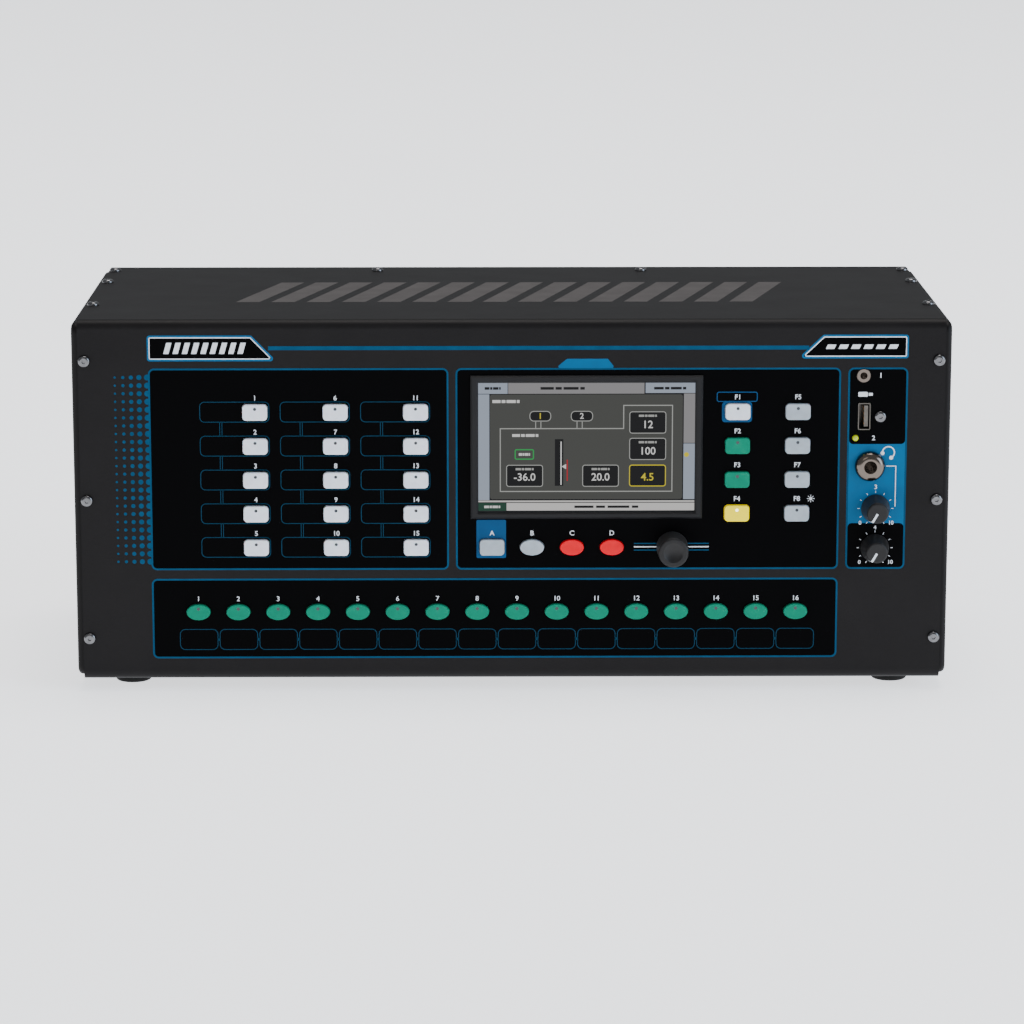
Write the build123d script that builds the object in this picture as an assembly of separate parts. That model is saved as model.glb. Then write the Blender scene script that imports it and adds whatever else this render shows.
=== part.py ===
"""Compact digital mixing desk in a folded steel case.

The desk is a free-standing box: one folded sheet makes the front, the top and a short lip under
the front edge, a second folded sheet makes the floor and the rear panel, and a pressed tray closes
each end. The front carries a touch display in a bezel, 43 keys, a data wheel, two level knobs and a
strip of sockets. +X is the operator's right, +Y runs from the front panel to the rear panel, +Z is
up, and the origin is on the table under the middle of the whole desk. Lengths are in millimetres.
"""

from build123d import *
import math
import os

# ---------------------------------------------------------------- overall sizes
case_width = 438.0
case_height = 183.0
case_depth = 190.0
foot_height = 6.0
knob_proud = 15.5  # how far the knobs stand out of the front panel
rear_proud = 3.0  # how far the mains inlet stands out of the rear panel

# ---------------------------------------------------------------- sheet metal
sheet = 1.5
bend_radius = 4.5  # outside radius of the folds in the cover
chassis_bend = 3.0  # outside radius of the folds in the chassis
seam = 0.1  # gap between two sheets that lie on each other
end_reveal = 3.3  # width of the end plate that shows beside the front panel
end_flange = 14.0  # depth of the end tray's turned-in rim
end_edge_radius = 2.4
end_corner_radius = 5.0
front_lip = 12.0  # lip of the cover under the front edge
chassis_flange = 22.0  # top flange of the rear panel, under the cover
flange_inset = 1.0  # side gap between the chassis flanges and the end trays
lip_gap = 0.5  # between the cover's lip and the floor behind it
lap_length = 4.0  # how far the lap under the lip reaches back over the floor
floor_slots = 12
floor_slot_pitch = 14.0
floor_slot_length = 46.0
floor_slot_width = 3.0
floor_slots_depth = 66.5  # middle of the floor's slots, from the front panel
side_slots = 9
side_slot_pitch = 12.0
side_slot_length = 34.0
side_slot_width = 4.0
side_slot_rise = 26.0  # middle of each row of slots, from the middle of the end tray

# ---------------------------------------------------------------- screws and feet
screw_radius = 1.5
screw_hole_radius = 1.6
screw_length = 7.0
head_radius = 3.05
head_height = 1.7
socket_radius = 1.1
socket_depth = 1.0
edge_screw_inset = 6.6  # from the case's side to the row of screws
front_screw_pitch = 70.6
front_screw_low = 21.3  # lowest front screw above the case's underside
top_screw_depths = (52.0, 133.0)  # from the front panel, along each side
cell_margin = 2.0  # between the output sockets' cut-outs and the next cells of the rear panel
rear_screw_inset = 14.0  # rear row of top screws, from the rear panel
rear_row_pitch = 142.0
foot_radius = 9.0
foot_inset_x = 26.0
foot_inset_front = 26.0
foot_inset_rear = 24.0
foot_bore_radius = 3.8
foot_bore_depth = 3.0
foot_edge_radius = 1.2
head_rim = 0.25  # straight edge that is left under a screw head's dome

# ---------------------------------------------------------------- keys
key_width = 12.3
key_height = 8.1
oval_width = 11.9
oval_height = 8.0
key_corner = 1.9
key_gap = 0.3  # clearance between a key and its hole in the panel
key_proud = 2.0
key_edge = 0.45
key_travel = 1.0
key_flange = 1.0  # thickness of the rim that holds a key behind the panel
key_flange_margin = 1.1
key_flange_gap = 0.15
stem_radius = 1.6
stem_drop = 0.7  # the stem sits under the key's centre, clear of its lens
lens_radius = 0.8
lens_rise = 1.8
switch_size = 6.2
switch_height = 3.5
stem_floor_gap = 0.6  # left in the switch under the stem of a pressed key
switch_well_gap = 0.15
stem_entry = 0.3  # how far a released key's stem reaches into its switch

# ---------------------------------------------------------------- front panel layout
key_pitch = 20.0
row_pitch = 17.2
low_row = 68.0  # lowest row of soft keys, above the case's underside
channel_row = 35.0
channel_keys = 16
last_channel_x = 142.5
soft_column_pitch = 40.0
soft_columns = 3
soft_rows = 5
last_soft_x = -48.0
function_columns = (112.5, 142.5)
function_rows = 4
edit_key_x = -10.0
wheel_x = 80.3
display_x = 37.2
display_z = 118.9
strip_x = 182.0  # middle of the strip of sockets and knobs
phones_knob_z = 87.4
alt_knob_z = 67.3
phones_jack_x = 178.8
phones_jack_z = 109.0
line_jack_x = 175.0
line_jack_z = 154.8
usb_x = 175.6
usb_z = 134.1
usb_screw_x = 183.6
lamp_x = 171.4
lamp_z = 123.2

# ---------------------------------------------------------------- display
glass_width = 110.0
glass_height = 67.9
glass_depth = 4.5
window_width = 108.0
window_height = 65.9
bezel_width = 115.8
bezel_height = 72.6
bezel_proud = 1.9
bezel_bevel = 0.9
bezel_skirt = 0.9
bezel_fit = 0.2
bezel_depth = 6.2

# ---------------------------------------------------------------- knobs
wheel_radius = 8.0
wheel_dish_radius = 5.0
wheel_dish_depth = 1.3
wheel_nose_radius = 7.5
level_knob_radius = 7.2
level_knob_nose = 5.4
level_knob_length = 12.5
knob_skirt_wall = 1.4
knob_edge = 1.1
knob_gap = 0.7  # between a knob and the panel
shaft_radius = 3.0
shaft_fit = 0.05
bushing_radius = 3.6
bushing_fit = 0.2
bushing_length = 5.0
pot_body = 10.0
wheel_body = 12.0
body_corner = 0.8
pot_gap = 1.0  # between a pot's body and the panel
pot_floor = 1.5  # solid end of a pot's body, behind its bore
shaft_end_gap = 0.5
knob_roof = 4.0  # solid nose of a knob, in front of its shaft
knob_hollow_gap = 1.0  # between a bushing and the bottom of the knob's hollow

# ---------------------------------------------------------------- boards behind the panel
board_standoff = 12.0  # front face of the control board, behind the front panel's face
board = 1.6
standoff_radius = 2.6
standoff_left_gap = 4.0  # from the space round the outer keys to the standoffs
standoff_middle_gap = 2.0
standoff_right_gap = 3.0
standoff_drop = 17.0  # lowest standoffs, under the channel keys
board_margin = 5.0  # board outside its outermost standoffs
display_board_gap = 4.0  # free space round the display in the control board
switch_corner = 0.6
strip_board_gap = 2.0
strip_board_margin = 5.0  # board beside the level knobs
strip_board_end = 1.0  # from the strip's board to the end tray's rim
strip_board_below = 9.0
strip_board_above = 8.0
driver_inset = (8.0, 6.0)  # from the glass's edge to the display's driver board

# ---------------------------------------------------------------- front sockets
phones_bore_radius = 3.25
phones_bore_length = 30.0
phones_nut_radius = 7.6
phones_nut_height = 4.4
phones_nut_dome = 3.6  # radius of the nut's rounded face
phones_barrel_radius = 5.6
phones_case = (15.2, 16.8)
line_case = 8.4
jack_wall = 1.0  # closed end of a jack behind its bore
case_gap = 0.3  # between a jack's housing and the panel
thread_overlap = 0.5  # a barrel runs this far past the panel into its housing
line_proud = 0.6
phones_cutout = (8.0, 9.0)  # half sizes of the strip board's cut-outs
line_cutout = 5.0
line_bore_radius = 1.8
line_bore_length = 13.0
line_barrel_radius = 3.3
usb_opening = (5.2, 12.6)
usb_wall = 0.5
usb_depth = 18.0
usb_slot_margin = 0.6
usb_corner = 0.8
usb_recess = 0.2
usb_back_wall = 2.0
usb_tongue = (2.0, 10.6)
usb_tongue_gap = 0.6  # between the tongue and the shell on its near side
usb_tongue_start = 1.5
usb_cutout = (4.0, 8.0)
lamp_proud = 0.2  # middle of the lamp's dome in front of the panel's face
lamp_radius = 1.5

# ---------------------------------------------------------------- rear panel
xlr_pitch = 25.0
xlr_rows = (144.0, 112.0)  # above the case's underside
input_columns = 8
first_input_x = 188.0
output_columns = 4
first_output_x = -22.0
xlr_nose_radius = 11.0
xlr_fit = 0.25
xlr_nose_proud = 0.6
xlr_body = 23.0
xlr_depth = 21.0
inlet_groove_outer = 9.6
inlet_groove_inner = 7.75
inlet_groove_depth = 11.0
outlet_cup_radius = 8.0
outlet_cup_depth = 12.5
pin_radius = 1.2
pin_circle = 4.7
pin_length = 10.0
xlr_body_rise = 2.0  # body above and below its square
xlr_corner = 2.0
xlr_edge_radius = 0.4
trs_columns = 4
trs_row = 74.0
trs_bore_radius = 3.25
trs_bore_length = 24.0
trs_nut_radius = 6.4
trs_nut_height = 2.2
trs_case = 16.0
nut_bevel = 0.8
net_proud = 0.5
net_x = -134.0
net_opening = (11.8, 8.4)
net_depth = 13.0
net_shell = (15.6, 13.4, 20.0)
data_x = -134.0
data_z = 74.0
data_opening = (8.4, 7.8)
data_shell = (12.0, 10.8, 16.0)
data_depth = 9.0
data_core = (5.6, 3.2)
data_core_recess = 1.0
rear_board_gap = 0.2
rear_board_below = 12.0
rear_board_above = 18.0
rear_board_side = 14.0  # board beside the network sockets
mains_x = -170.0
mains_z = 36.0
mains_flange = (48.0, 27.0)
mains_flange_gap = 0.1
mains_flange_corner = 4.0
mains_bevel = 0.8
mains_opening = (24.0, 16.6)
mains_cavity = 17.0
mains_body = (27.6, 20.2, 24.0)
blade = (2.0, 4.0, 12.0)
blade_spread = 7.0
blade_rise = 2.0
rocker_x = -124.0
rocker_frame = (21.0, 27.0)
rocker_frame_proud = 1.4
rocker_frame_corner = 1.5
rocker_cut_margin = 1.0  # the frame covers this much of the panel round its hole
rocker_shell_margin = 1.5
rocker_back_wall = 4.0
rocker_face_sink = 0.4  # how far the middle of the rocker lies behind the panel
rocker_reach = 2.0  # cutting shape beyond the rocker's round back
rocker_radius = 9.4
rocker_width = 12.6
rocker_fit = 0.3
rocker_tilt = 7.0
rocker_pivot_depth = 5.0

# ---------------------------------------------------------------- inside
main_board_lift = 12.0
main_board_left = 108.0  # from the left end tray's rim, beside the power supply
main_board_right = 12.0
main_board_front = 40.0
main_board_rear = 42.0
pillar_radius = 3.0
pillar_inset = 5.0
chips = 5
chip_size = 22.0
chip_height = 1.8
chip_pitch = 46.0
chip_left = 30.0  # first chip, from the board's left edge
chip_front = 26.0
sink_size = (36.0, 32.0)
sink_place = (120.0, 56.0)  # from the board's left front corner
sink_base = 3.0
sink_height = 14.0
sink_fins = 9
sink_fin = 1.4
can_radius = 5.0
can_height = 12.0
cans = 4
can_pitch = 14.0
can_place = (190.0, 74.0)
supply_width = 84.0
supply_depth = 118.0
supply_height = 34.0
supply_left = 4.0  # from the left end tray's rim
supply_front = 30.0
supply_plate_lift = 6.0
supply_plate_left = 3.0
supply_plate_edge = 2.0
supply_post_radius = 2.5
supply_post_inset = (8.0, 7.0)  # posts from the bracket's left and right edges
transformer = (34.0, 30.0, 24.0)
transformer_place = (26.0, 44.0)  # from the bracket's left front corner
coil = (20.0, 20.0, 18.0)
coil_place = (16.0, 84.0)
bulk_radius = 11.0
bulk_height = 25.0
bulk_place = (58.0, 92.0)
output_cans = 4
output_can_height = 18.0
output_can_pitch = 15.0
output_can_place = (18.0, 18.0)

# ================================================================ places worked out from the sizes
overall_depth = knob_proud + case_depth + rear_proud
front_y = -overall_depth / 2 + knob_proud  # outer face of the front panel
rear_y = front_y + case_depth  # outer face of the rear panel
floor_z = foot_height  # underside of the case
top_z = floor_z + case_height
half_width = case_width / 2
cover_half = half_width - end_reveal
inner_half = half_width - end_flange - flange_inset  # free width between the end trays' rims
panel_back = front_y + sheet
board_y = front_y + board_standoff
screw_x = half_width - edge_screw_inset
front_screw_zs = [floor_z + front_screw_low + front_screw_pitch * i for i in range(3)]


def block(x0, x1, y0, y1, z0, z1):
    """A box between two corners."""
    middle = Pos((x0 + x1) / 2, (y0 + y1) / 2, (z0 + z1) / 2)
    return middle * Box(abs(x1 - x0), abs(y1 - y0), abs(z1 - z0))


def rod_y(x, z, radius, y0, y1):
    """A cylinder that runs from front to back."""
    return Pos(x, (y0 + y1) / 2, z) * Rot(90, 0, 0) * Cylinder(radius, abs(y1 - y0))


def rod_z(x, y, radius, z0, z1):
    """An upright cylinder."""
    return Pos(x, y, (z0 + z1) / 2) * Cylinder(radius, abs(z1 - z0))


def slab_y(outline, x, z, y0, y1):
    """An outline drawn as seen from the front, given depth from y0 back to y1."""
    face = Plane(origin=(x, y1, z), x_dir=(1, 0, 0), z_dir=(0, -1, 0)) * outline
    return extrude(face, y1 - y0)


def front_half_turn(profile, x, z):
    """Turns a half profile, drawn as radius and depth, about a front-to-back line."""
    return Pos(x, 0, z) * revolve(Plane.XY * profile, Axis.Y)


def save(name, *solids):
    """Writes one named node as a STEP file."""
    pieces = [s for piece in solids for s in piece.solids()]
    shape = pieces[0] if len(pieces) == 1 else Compound(children=pieces)
    shape.label = name
    export_step(shape, f"parts/{name}.step")


# ================================================================ keys
def key_outline(kind, grow=0.0):
    if kind == "oval":
        return Ellipse(oval_width / 2 + grow, oval_height / 2 + grow)
    return RectangleRounded(key_width + 2 * grow, key_height + 2 * grow, key_corner + grow)


def make_key(kind, lit):
    """One key at the origin: a moulded cap with a rim and stem, and a clear lens if it can light."""
    face_y = front_y - key_proud
    rim_y = panel_back + key_flange_gap
    cap = slab_y(key_outline(kind), 0, 0, face_y, rim_y)
    cap = fillet(cap.faces().sort_by(Axis.Y)[0].edges(), key_edge)
    rim = slab_y(key_outline(kind, key_flange_margin), 0, 0, rim_y, rim_y + key_flange)
    stem_end = board_y - switch_height + stem_entry
    stem = rod_y(0, -stem_drop, stem_radius, rim_y + key_flange / 2, stem_end)
    cap = cap + rim + stem
    if not lit:
        return (cap,)
    lens_end = rim_y + key_flange
    cap -= rod_y(0, lens_rise, lens_radius, face_y - 1, lens_end + 1)
    lens = rod_y(0, lens_rise, lens_radius, face_y, lens_end)
    return cap, lens


def key_places():
    """Every key as name: (kind, whether it lights, x, height above the case's underside)."""
    places = {}
    for column in range(soft_columns):
        for row in range(soft_rows):
            number = column * soft_rows + row + 1
            x = last_soft_x - soft_column_pitch * (soft_columns - 1 - column)
            z = low_row + row_pitch * (soft_rows - 1 - row)
            places[f"soft_key_{number:02d}"] = ("plain", True, x, z)
    for number in range(channel_keys):
        x = last_channel_x - key_pitch * (channel_keys - 1 - number)
        places[f"channel_key_{number + 1:02d}"] = ("oval", True, x, channel_row)
    names = (
        ("remote_key", "processing_key", "routing_key", "channel_view_key"),
        ("home_key", "effects_key", "scenes_key", "setup_key"),
    )
    for x, column in zip(function_columns, names):
        for row, name in enumerate(column):
            places[name] = ("plain", True, x, low_row + row_pitch * (function_rows - row))
    for step, name in enumerate(("fn_key", "copy_key", "paste_key", "reset_key")):
        kind = "plain" if name == "fn_key" else "oval"
        places[name] = (kind, False, edit_key_x + key_pitch * step, low_row)
    return places


keys = key_places()
knobs = {
    "data_wheel": (wheel_x, low_row),
    "phones_knob": (strip_x, phones_knob_z),
    "alt_out_knob": (strip_x, alt_knob_z),
}


# ================================================================ case
def front_screws():
    return [(side * screw_x, z) for side in (-1, 1) for z in front_screw_zs]


def top_screws():
    """Screws through the top: one row along each side and one along the rear."""
    sides = [(s * screw_x, front_y + d) for s in (-1, 1) for d in top_screw_depths]
    row_y = rear_y - rear_screw_inset
    rear = [(s * x, row_y) for s in (-1, 1) for x in (rear_row_pitch / 2, screw_x)]
    return sides + rear


def rear_screws():
    return [(side * screw_x, z) for side in (-1, 1) for z in front_screw_zs]


def foot_places():
    ys = (front_y + foot_inset_front, rear_y - foot_inset_rear)
    return [(side * (half_width - foot_inset_x), y) for side in (-1, 1) for y in ys]


def standoff_places():
    """Pressed-in standoffs that carry the control board, between the keys."""
    x_left = last_channel_x - key_pitch * (channel_keys - 0.5) - standoff_left_gap
    x_left_middle = last_soft_x + key_pitch / 2 + standoff_middle_gap
    x_right = function_columns[1] + key_pitch / 2 + standoff_right_gap
    z_low = channel_row - standoff_drop
    z_high = low_row + row_pitch * soft_rows
    spots = [(x, z) for x in (x_left, x_left_middle, x_right) for z in (z_low, z_high)]
    return spots + [(x_left, low_row), (x_right, low_row)]


def front_holes():
    """Everything that is cut out of the front panel."""
    y0, y1 = front_y - 1, panel_back + 1
    holes = []
    for kind, _, x, z in keys.values():
        holes.append(slab_y(key_outline(kind, key_gap), x, floor_z + z, y0, y1))
    opening = Rectangle(
        glass_width + 2 * (bezel_skirt + 2 * bezel_fit),
        glass_height + 2 * (bezel_skirt + 2 * bezel_fit),
    )
    holes.append(slab_y(opening, display_x, floor_z + display_z, y0, y1))
    for x, z in knobs.values():
        holes.append(rod_y(x, floor_z + z, bushing_radius + bushing_fit, y0, y1))
    round_holes = (
        (phones_jack_x, phones_jack_z, phones_barrel_radius + bushing_fit),
        (line_jack_x, line_jack_z, line_barrel_radius + bushing_fit),
        (lamp_x, lamp_z, lamp_radius + bushing_fit),
        (usb_screw_x, usb_z, screw_hole_radius),
    )
    for x, z, radius in round_holes:
        holes.append(rod_y(x, floor_z + z, radius, y0, y1))
    slot_width, slot_height = (s + 2 * (usb_wall + usb_slot_margin) for s in usb_opening)
    slot = RectangleRounded(slot_width, slot_height, usb_slot_margin)
    holes.append(slab_y(slot, usb_x, floor_z + usb_z, y0, y1))
    holes += [rod_y(x, z, screw_hole_radius, y0, y1) for x, z in front_screws()]
    return holes


def make_cover():
    """Front panel, top and under-lip of the folded sheet, parted where its flat front meets a fold."""
    outer = Plane.YZ * Pos((front_y + rear_y) / 2, (floor_z + top_z) / 2) * Rectangle(
        case_depth, case_height
    )
    front_corners = outer.vertices().group_by(Axis.Y)[0]
    outer = fillet(front_corners, bend_radius)
    inner_rear = rear_y + case_depth
    inner = Plane.YZ * Pos((panel_back + inner_rear) / 2, (floor_z + top_z) / 2) * Rectangle(
        inner_rear - panel_back, case_height - 2 * sheet
    )
    inner = fillet(inner.vertices().group_by(Axis.Y)[0], bend_radius - sheet)
    sheet_body = extrude(outer, cover_half, both=True) - extrude(inner, cover_half, both=True)
    lip_end = front_y + front_lip
    sheet_body -= block(
        -half_width, half_width, lip_end, rear_y + 1, floor_z - 1, floor_z + sheet + 1
    )
    sheet_body -= front_holes()
    top_holes = [rod_z(x, y, screw_hole_radius, top_z - 3, top_z + 1) for x, y in top_screws()]
    sheet_body -= top_holes
    standoffs = [
        rod_y(x, floor_z + z, standoff_radius, panel_back, board_y) for x, z in standoff_places()
    ]
    bores = [
        rod_y(x, floor_z + z, screw_radius, panel_back, board_y + 1) for x, z in standoff_places()
    ]
    fold_high, fold_low = top_z - bend_radius, floor_z + bend_radius
    top = sheet_body & slab_between(fold_high, top_z + 1)
    lip = sheet_body & slab_between(floor_z - 1, fold_low)
    front = (sheet_body & slab_between(fold_low, fold_high)) + standoffs - bores
    return [front, top, lip]


def slab_between(z0, z1):
    """Everything of the case between two heights."""
    return block(-case_width, case_width, front_y - case_depth, rear_y + case_depth, z0, z1)


def rear_holes():
    """Everything that is cut out of the rear panel."""
    y0, y1 = rear_y - sheet - 1, rear_y + 1
    holes = [
        rod_y(x, z, xlr_nose_radius + xlr_fit, y0, y1) for x, z in input_places() + output_places()
    ]
    holes += [rod_y(x, z, phones_barrel_radius + bushing_fit, y0, y1) for x, z in trs_places()]
    windows = [(net_x, z, net_shell) for z in net_rows()]
    windows.append((data_x, floor_z + data_z, data_shell))
    windows.append((mains_x, floor_z + mains_z, mains_body))
    for x, z, shell in windows:
        opening = Rectangle(shell[0] + 2 * bushing_fit, shell[1] + 2 * bushing_fit)
        holes.append(slab_y(opening, x, z, y0, y1))
    opening = Rectangle(*(size - 2 * rocker_cut_margin for size in rocker_frame))
    holes.append(slab_y(opening, rocker_x, floor_z + mains_z, y0, y1))
    holes += [rod_y(x, z, screw_hole_radius, y0, y1) for x, z in rear_screws()]
    return holes


def panel_cells(panel):
    """The rear panel parted into abutting cells, so that each stays simple beside its openings.

    Round cut-outs are parted through their middles and the square ones along their edges.
    """
    out_xs = sorted({x for x, z in output_places()})
    out_zs = sorted({z for x, z in output_places()})
    in_edge = (out_xs[-1] + min(x for x, z in input_places())) / 2
    out_edge = out_xs[0] - xlr_nose_radius - cell_margin
    net_edge = (mains_x + net_x) / 2
    low, high = floor_z, top_z
    net_half = net_shell[1] / 2 + bushing_fit
    mains_half = mains_body[1] / 2 + bushing_fit
    net_zs = sorted(z + side * net_half for z in net_rows() for side in (-1, 1))
    mains_zs = [floor_z + mains_z + side * mains_half for side in (-1, 1)]
    grids = [
        ([in_edge, case_width], [low, high]),
        ([out_edge, *out_xs, in_edge], [low, *out_zs, high]),
        ([net_edge, out_edge], [low, *net_zs, high]),
        ([-case_width, net_edge], [low, *mains_zs, high]),
    ]
    cells = []
    for xs, zs in grids:
        for x0, x1 in zip(xs, xs[1:]):
            for z0, z1 in zip(zs, zs[1:]):
                cell = panel & block(x0, x1, rear_y - sheet - 1, rear_y + 1, z0, z1)
                cells += cell.solids()
    return cells


def make_chassis():
    """Rear panel, floor with its fold, and top flange of the second sheet, parted at the folds."""
    floor_front = front_y + front_lip + lip_gap
    rear_top = top_z - sheet - seam
    middle = Pos((floor_front + rear_y) / 2, (floor_z + rear_top) / 2)
    outer = Plane.YZ * middle * Rectangle(rear_y - floor_front, rear_top - floor_z)
    outer = fillet(outer.vertices().group_by(Axis.Y)[-1].sort_by(Axis.Z)[0], chassis_bend)
    inner = Plane.YZ * Pos(-sheet, sheet) * middle * Rectangle(
        rear_y - floor_front, rear_top - floor_z
    )
    inner = fillet(inner.vertices().group_by(Axis.Y)[-1].sort_by(Axis.Z)[0], chassis_bend - sheet)
    body = extrude(outer, cover_half, both=True) - extrude(inner, cover_half, both=True)
    lap_low = floor_z + sheet + seam
    lap_front, lap_rear = panel_back + bend_radius, floor_front + lap_length
    body += block(-inner_half, inner_half, lap_front, lap_rear, lap_low, lap_low + sheet)
    body += block(-inner_half, inner_half, floor_front, lap_rear, floor_z, lap_low + sheet / 2)
    body -= [rod_z(x, y, screw_hole_radius, floor_z - 1, floor_z + 3) for x, y in foot_places()]
    for i in range(floor_slots):
        x = (i - (floor_slots - 1) / 2) * floor_slot_pitch
        slot = SlotOverall(floor_slot_length, floor_slot_width, rotation=90)
        slot = Pos(x, front_y + floor_slots_depth, floor_z - 1) * slot
        body -= extrude(slot, sheet + 2)
    back = rear_y - sheet
    above_fold = slab_between(floor_z + chassis_bend, rear_top + 1)
    above_fold &= block(-case_width, case_width, back, rear_y + 1, floor_z, rear_top + 1)
    panel = (body & above_fold) - rear_holes()
    floor = body - above_fold
    flange = block(
        -inner_half, inner_half, back - chassis_flange, back, rear_top - sheet, rear_top
    )
    flange -= [rod_z(x, y, screw_hole_radius, rear_top - 3, rear_top + 1) for x, y in top_screws()]
    return [*panel_cells(panel), floor, flange]


def make_end_plate(side):
    """Pressed tray that closes one end: a flat skin with a turned-in rim behind the sheets."""
    low, high = floor_z + sheet + seam, top_z - sheet - seam
    y0, y1 = panel_back + seam, rear_y - sheet - seam
    outline = Plane.YZ * Pos((y0 + y1) / 2, (low + high) / 2)
    outer = extrude(outline * RectangleRounded(y1 - y0, high - low, end_corner_radius), end_flange)
    outer = Pos(half_width - end_flange, 0, 0) * outer
    outer = fillet(outer.faces().sort_by(Axis.X)[-1].edges(), end_edge_radius)
    hollow = outline * RectangleRounded(
        y1 - y0 - 2 * sheet, high - low - 2 * sheet, end_corner_radius - sheet
    )
    tray = outer - Pos(half_width - end_flange - 1, 0, 0) * extrude(hollow, end_flange + 1 - sheet)
    for row in (-1, 1):
        for i in range(side_slots):
            y = (y0 + y1) / 2 + (i - (side_slots - 1) / 2) * side_slot_pitch
            z = (low + high) / 2 + row * side_slot_rise
            slot = SlotOverall(side_slot_length, side_slot_width, rotation=90)
            slot = Plane.YZ * Pos(y, z) * slot
            tray -= Pos(half_width - end_flange, 0, 0) * extrude(slot, end_flange + 1)
    edge_y = [(y0 - 1, y0 + sheet + 1), (y1 - sheet - 1, y1 + 1)]
    tray -= [rod_y(screw_x, z, screw_hole_radius, *span) for span in edge_y for z in front_screw_zs]
    side_ys = [y for x, y in top_screws() if x > cover_half / 2]
    tray -= [rod_z(screw_x, y, screw_hole_radius, high - sheet - 1, high + 1) for y in side_ys]
    return tray if side > 0 else mirror(tray, Plane.YZ)


# ================================================================ display
def make_bezel():
    """Moulded frame: a bevelled lip in front of the panel and a skirt that goes through it."""
    x, z = display_x, floor_z + display_z
    lip = slab_y(Rectangle(bezel_width, bezel_height), x, z, front_y - bezel_proud, front_y)
    lip = chamfer(lip.faces().sort_by(Axis.Y)[0].edges(), bezel_bevel)
    grow = 2 * (bezel_skirt + bezel_fit)
    skirt = Rectangle(glass_width + grow, glass_height + grow)
    body = lip + slab_y(skirt, x, z, front_y - bezel_proud / 2, front_y + bezel_depth)
    nest = Rectangle(glass_width + 2 * bezel_fit, glass_height + 2 * bezel_fit)
    body -= slab_y(nest, x, z, front_y, front_y + bezel_depth + 1)
    window = Rectangle(window_width, window_height)
    body -= slab_y(window, x, z, front_y - bezel_proud - 1, front_y + 1)
    inner_edge = body.faces().sort_by(Axis.Y)[0].inner_wires()[0].edges()
    return chamfer(inner_edge, bezel_bevel)


def make_display():
    """Touch glass and panel, held in the bezel, with the driver board on its back."""
    x, z = display_x, floor_z + display_z
    face_y = front_y + bezel_fit
    glass = slab_y(Rectangle(glass_width, glass_height), x, z, face_y, face_y + glass_depth)
    driver = slab_y(
        Rectangle(glass_width - 2 * driver_inset[0], glass_height - 2 * driver_inset[1]),
        x,
        z,
        face_y + glass_depth,
        face_y + glass_depth + board,
    )
    return glass, driver


# ================================================================ control board
def make_control_board():
    """Circuit board with its soldered switches and the body of the data wheel's encoder."""
    spots = standoff_places()
    x0 = min(x for x, _ in spots) - board_margin
    x1 = strip_x - level_knob_radius - strip_board_margin - strip_board_gap
    z0 = floor_z + min(z for _, z in spots) - board_margin
    z1 = floor_z + max(z for _, z in spots) + board_margin
    plate = block(x0, x1, board_y, board_y + board, z0, z1)
    hole = Rectangle(glass_width + 2 * display_board_gap, glass_height + 2 * display_board_gap)
    plate -= slab_y(hole, display_x, floor_z + display_z, board_y - 1, board_y + board + 1)
    plate -= [
        rod_y(x, floor_z + z, screw_hole_radius, board_y - 1, board_y + board + 1) for x, z in spots
    ]
    top_y = board_y - switch_height
    body = slab_y(RectangleRounded(switch_size, switch_size, switch_corner), 0, 0, top_y, board_y)
    well_end = top_y + stem_entry + key_travel + stem_floor_gap
    well = rod_y(0, 0, stem_radius + switch_well_gap, top_y - 1, well_end)
    switch = body - well
    switches = [
        Pos(x, 0, floor_z + z - stem_drop) * switch for _, _, x, z in keys.values()
    ]
    return [plate, *switches, rotary_body(wheel_x, low_row, wheel_body)]


def rotary_body(x, z, size):
    """Body and threaded bushing of a pot or encoder, bored for its shaft."""
    z = floor_z + z
    face_y = panel_back + pot_gap
    body = slab_y(RectangleRounded(size, size, body_corner), x, z, face_y, board_y)
    bushing = rod_y(x, z, bushing_radius, front_y - bushing_length + sheet, face_y)
    bore = rod_y(x, z, shaft_radius + shaft_fit, front_y - bushing_length, board_y - pot_floor)
    return body + bushing - bore


# ================================================================ knobs
def make_knob(name):
    """Moulded knob and the shaft that it is pressed on."""
    x, z = knobs[name]
    z = floor_z + z
    wheel = name == "data_wheel"
    back_y = front_y - knob_gap
    nose_y = front_y - (knob_proud if wheel else knob_gap + level_knob_length)
    base, nose = (wheel_radius, wheel_nose_radius) if wheel else (level_knob_radius, level_knob_nose)
    hollow_y = front_y - bushing_length + sheet - knob_hollow_gap
    edge = knob_edge
    with BuildSketch() as half:
        with BuildLine():
            Polyline((0, hollow_y), (base - knob_skirt_wall, hollow_y))
            Line((base - knob_skirt_wall, hollow_y), (base - knob_skirt_wall, back_y))
            Polyline((base - knob_skirt_wall, back_y), (base, back_y), (nose, nose_y + edge))
            RadiusArc((nose, nose_y + edge), (nose - edge, nose_y), edge)
            Polyline((nose - edge, nose_y), (0, nose_y), (0, hollow_y))
        make_face()
    cap = front_half_turn(half.sketch, x, z)
    if wheel:
        drop = wheel_dish_depth
        ball = (wheel_dish_radius**2 + drop**2) / (2 * drop)
        cap -= Pos(x, nose_y - ball + drop, z) * Sphere(ball)
    grip = nose_y + knob_roof
    cap -= rod_y(x, z, shaft_radius, grip, hollow_y + 1)
    shaft = rod_y(x, z, shaft_radius, grip, board_y - pot_floor - shaft_end_gap)
    return cap, shaft


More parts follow.
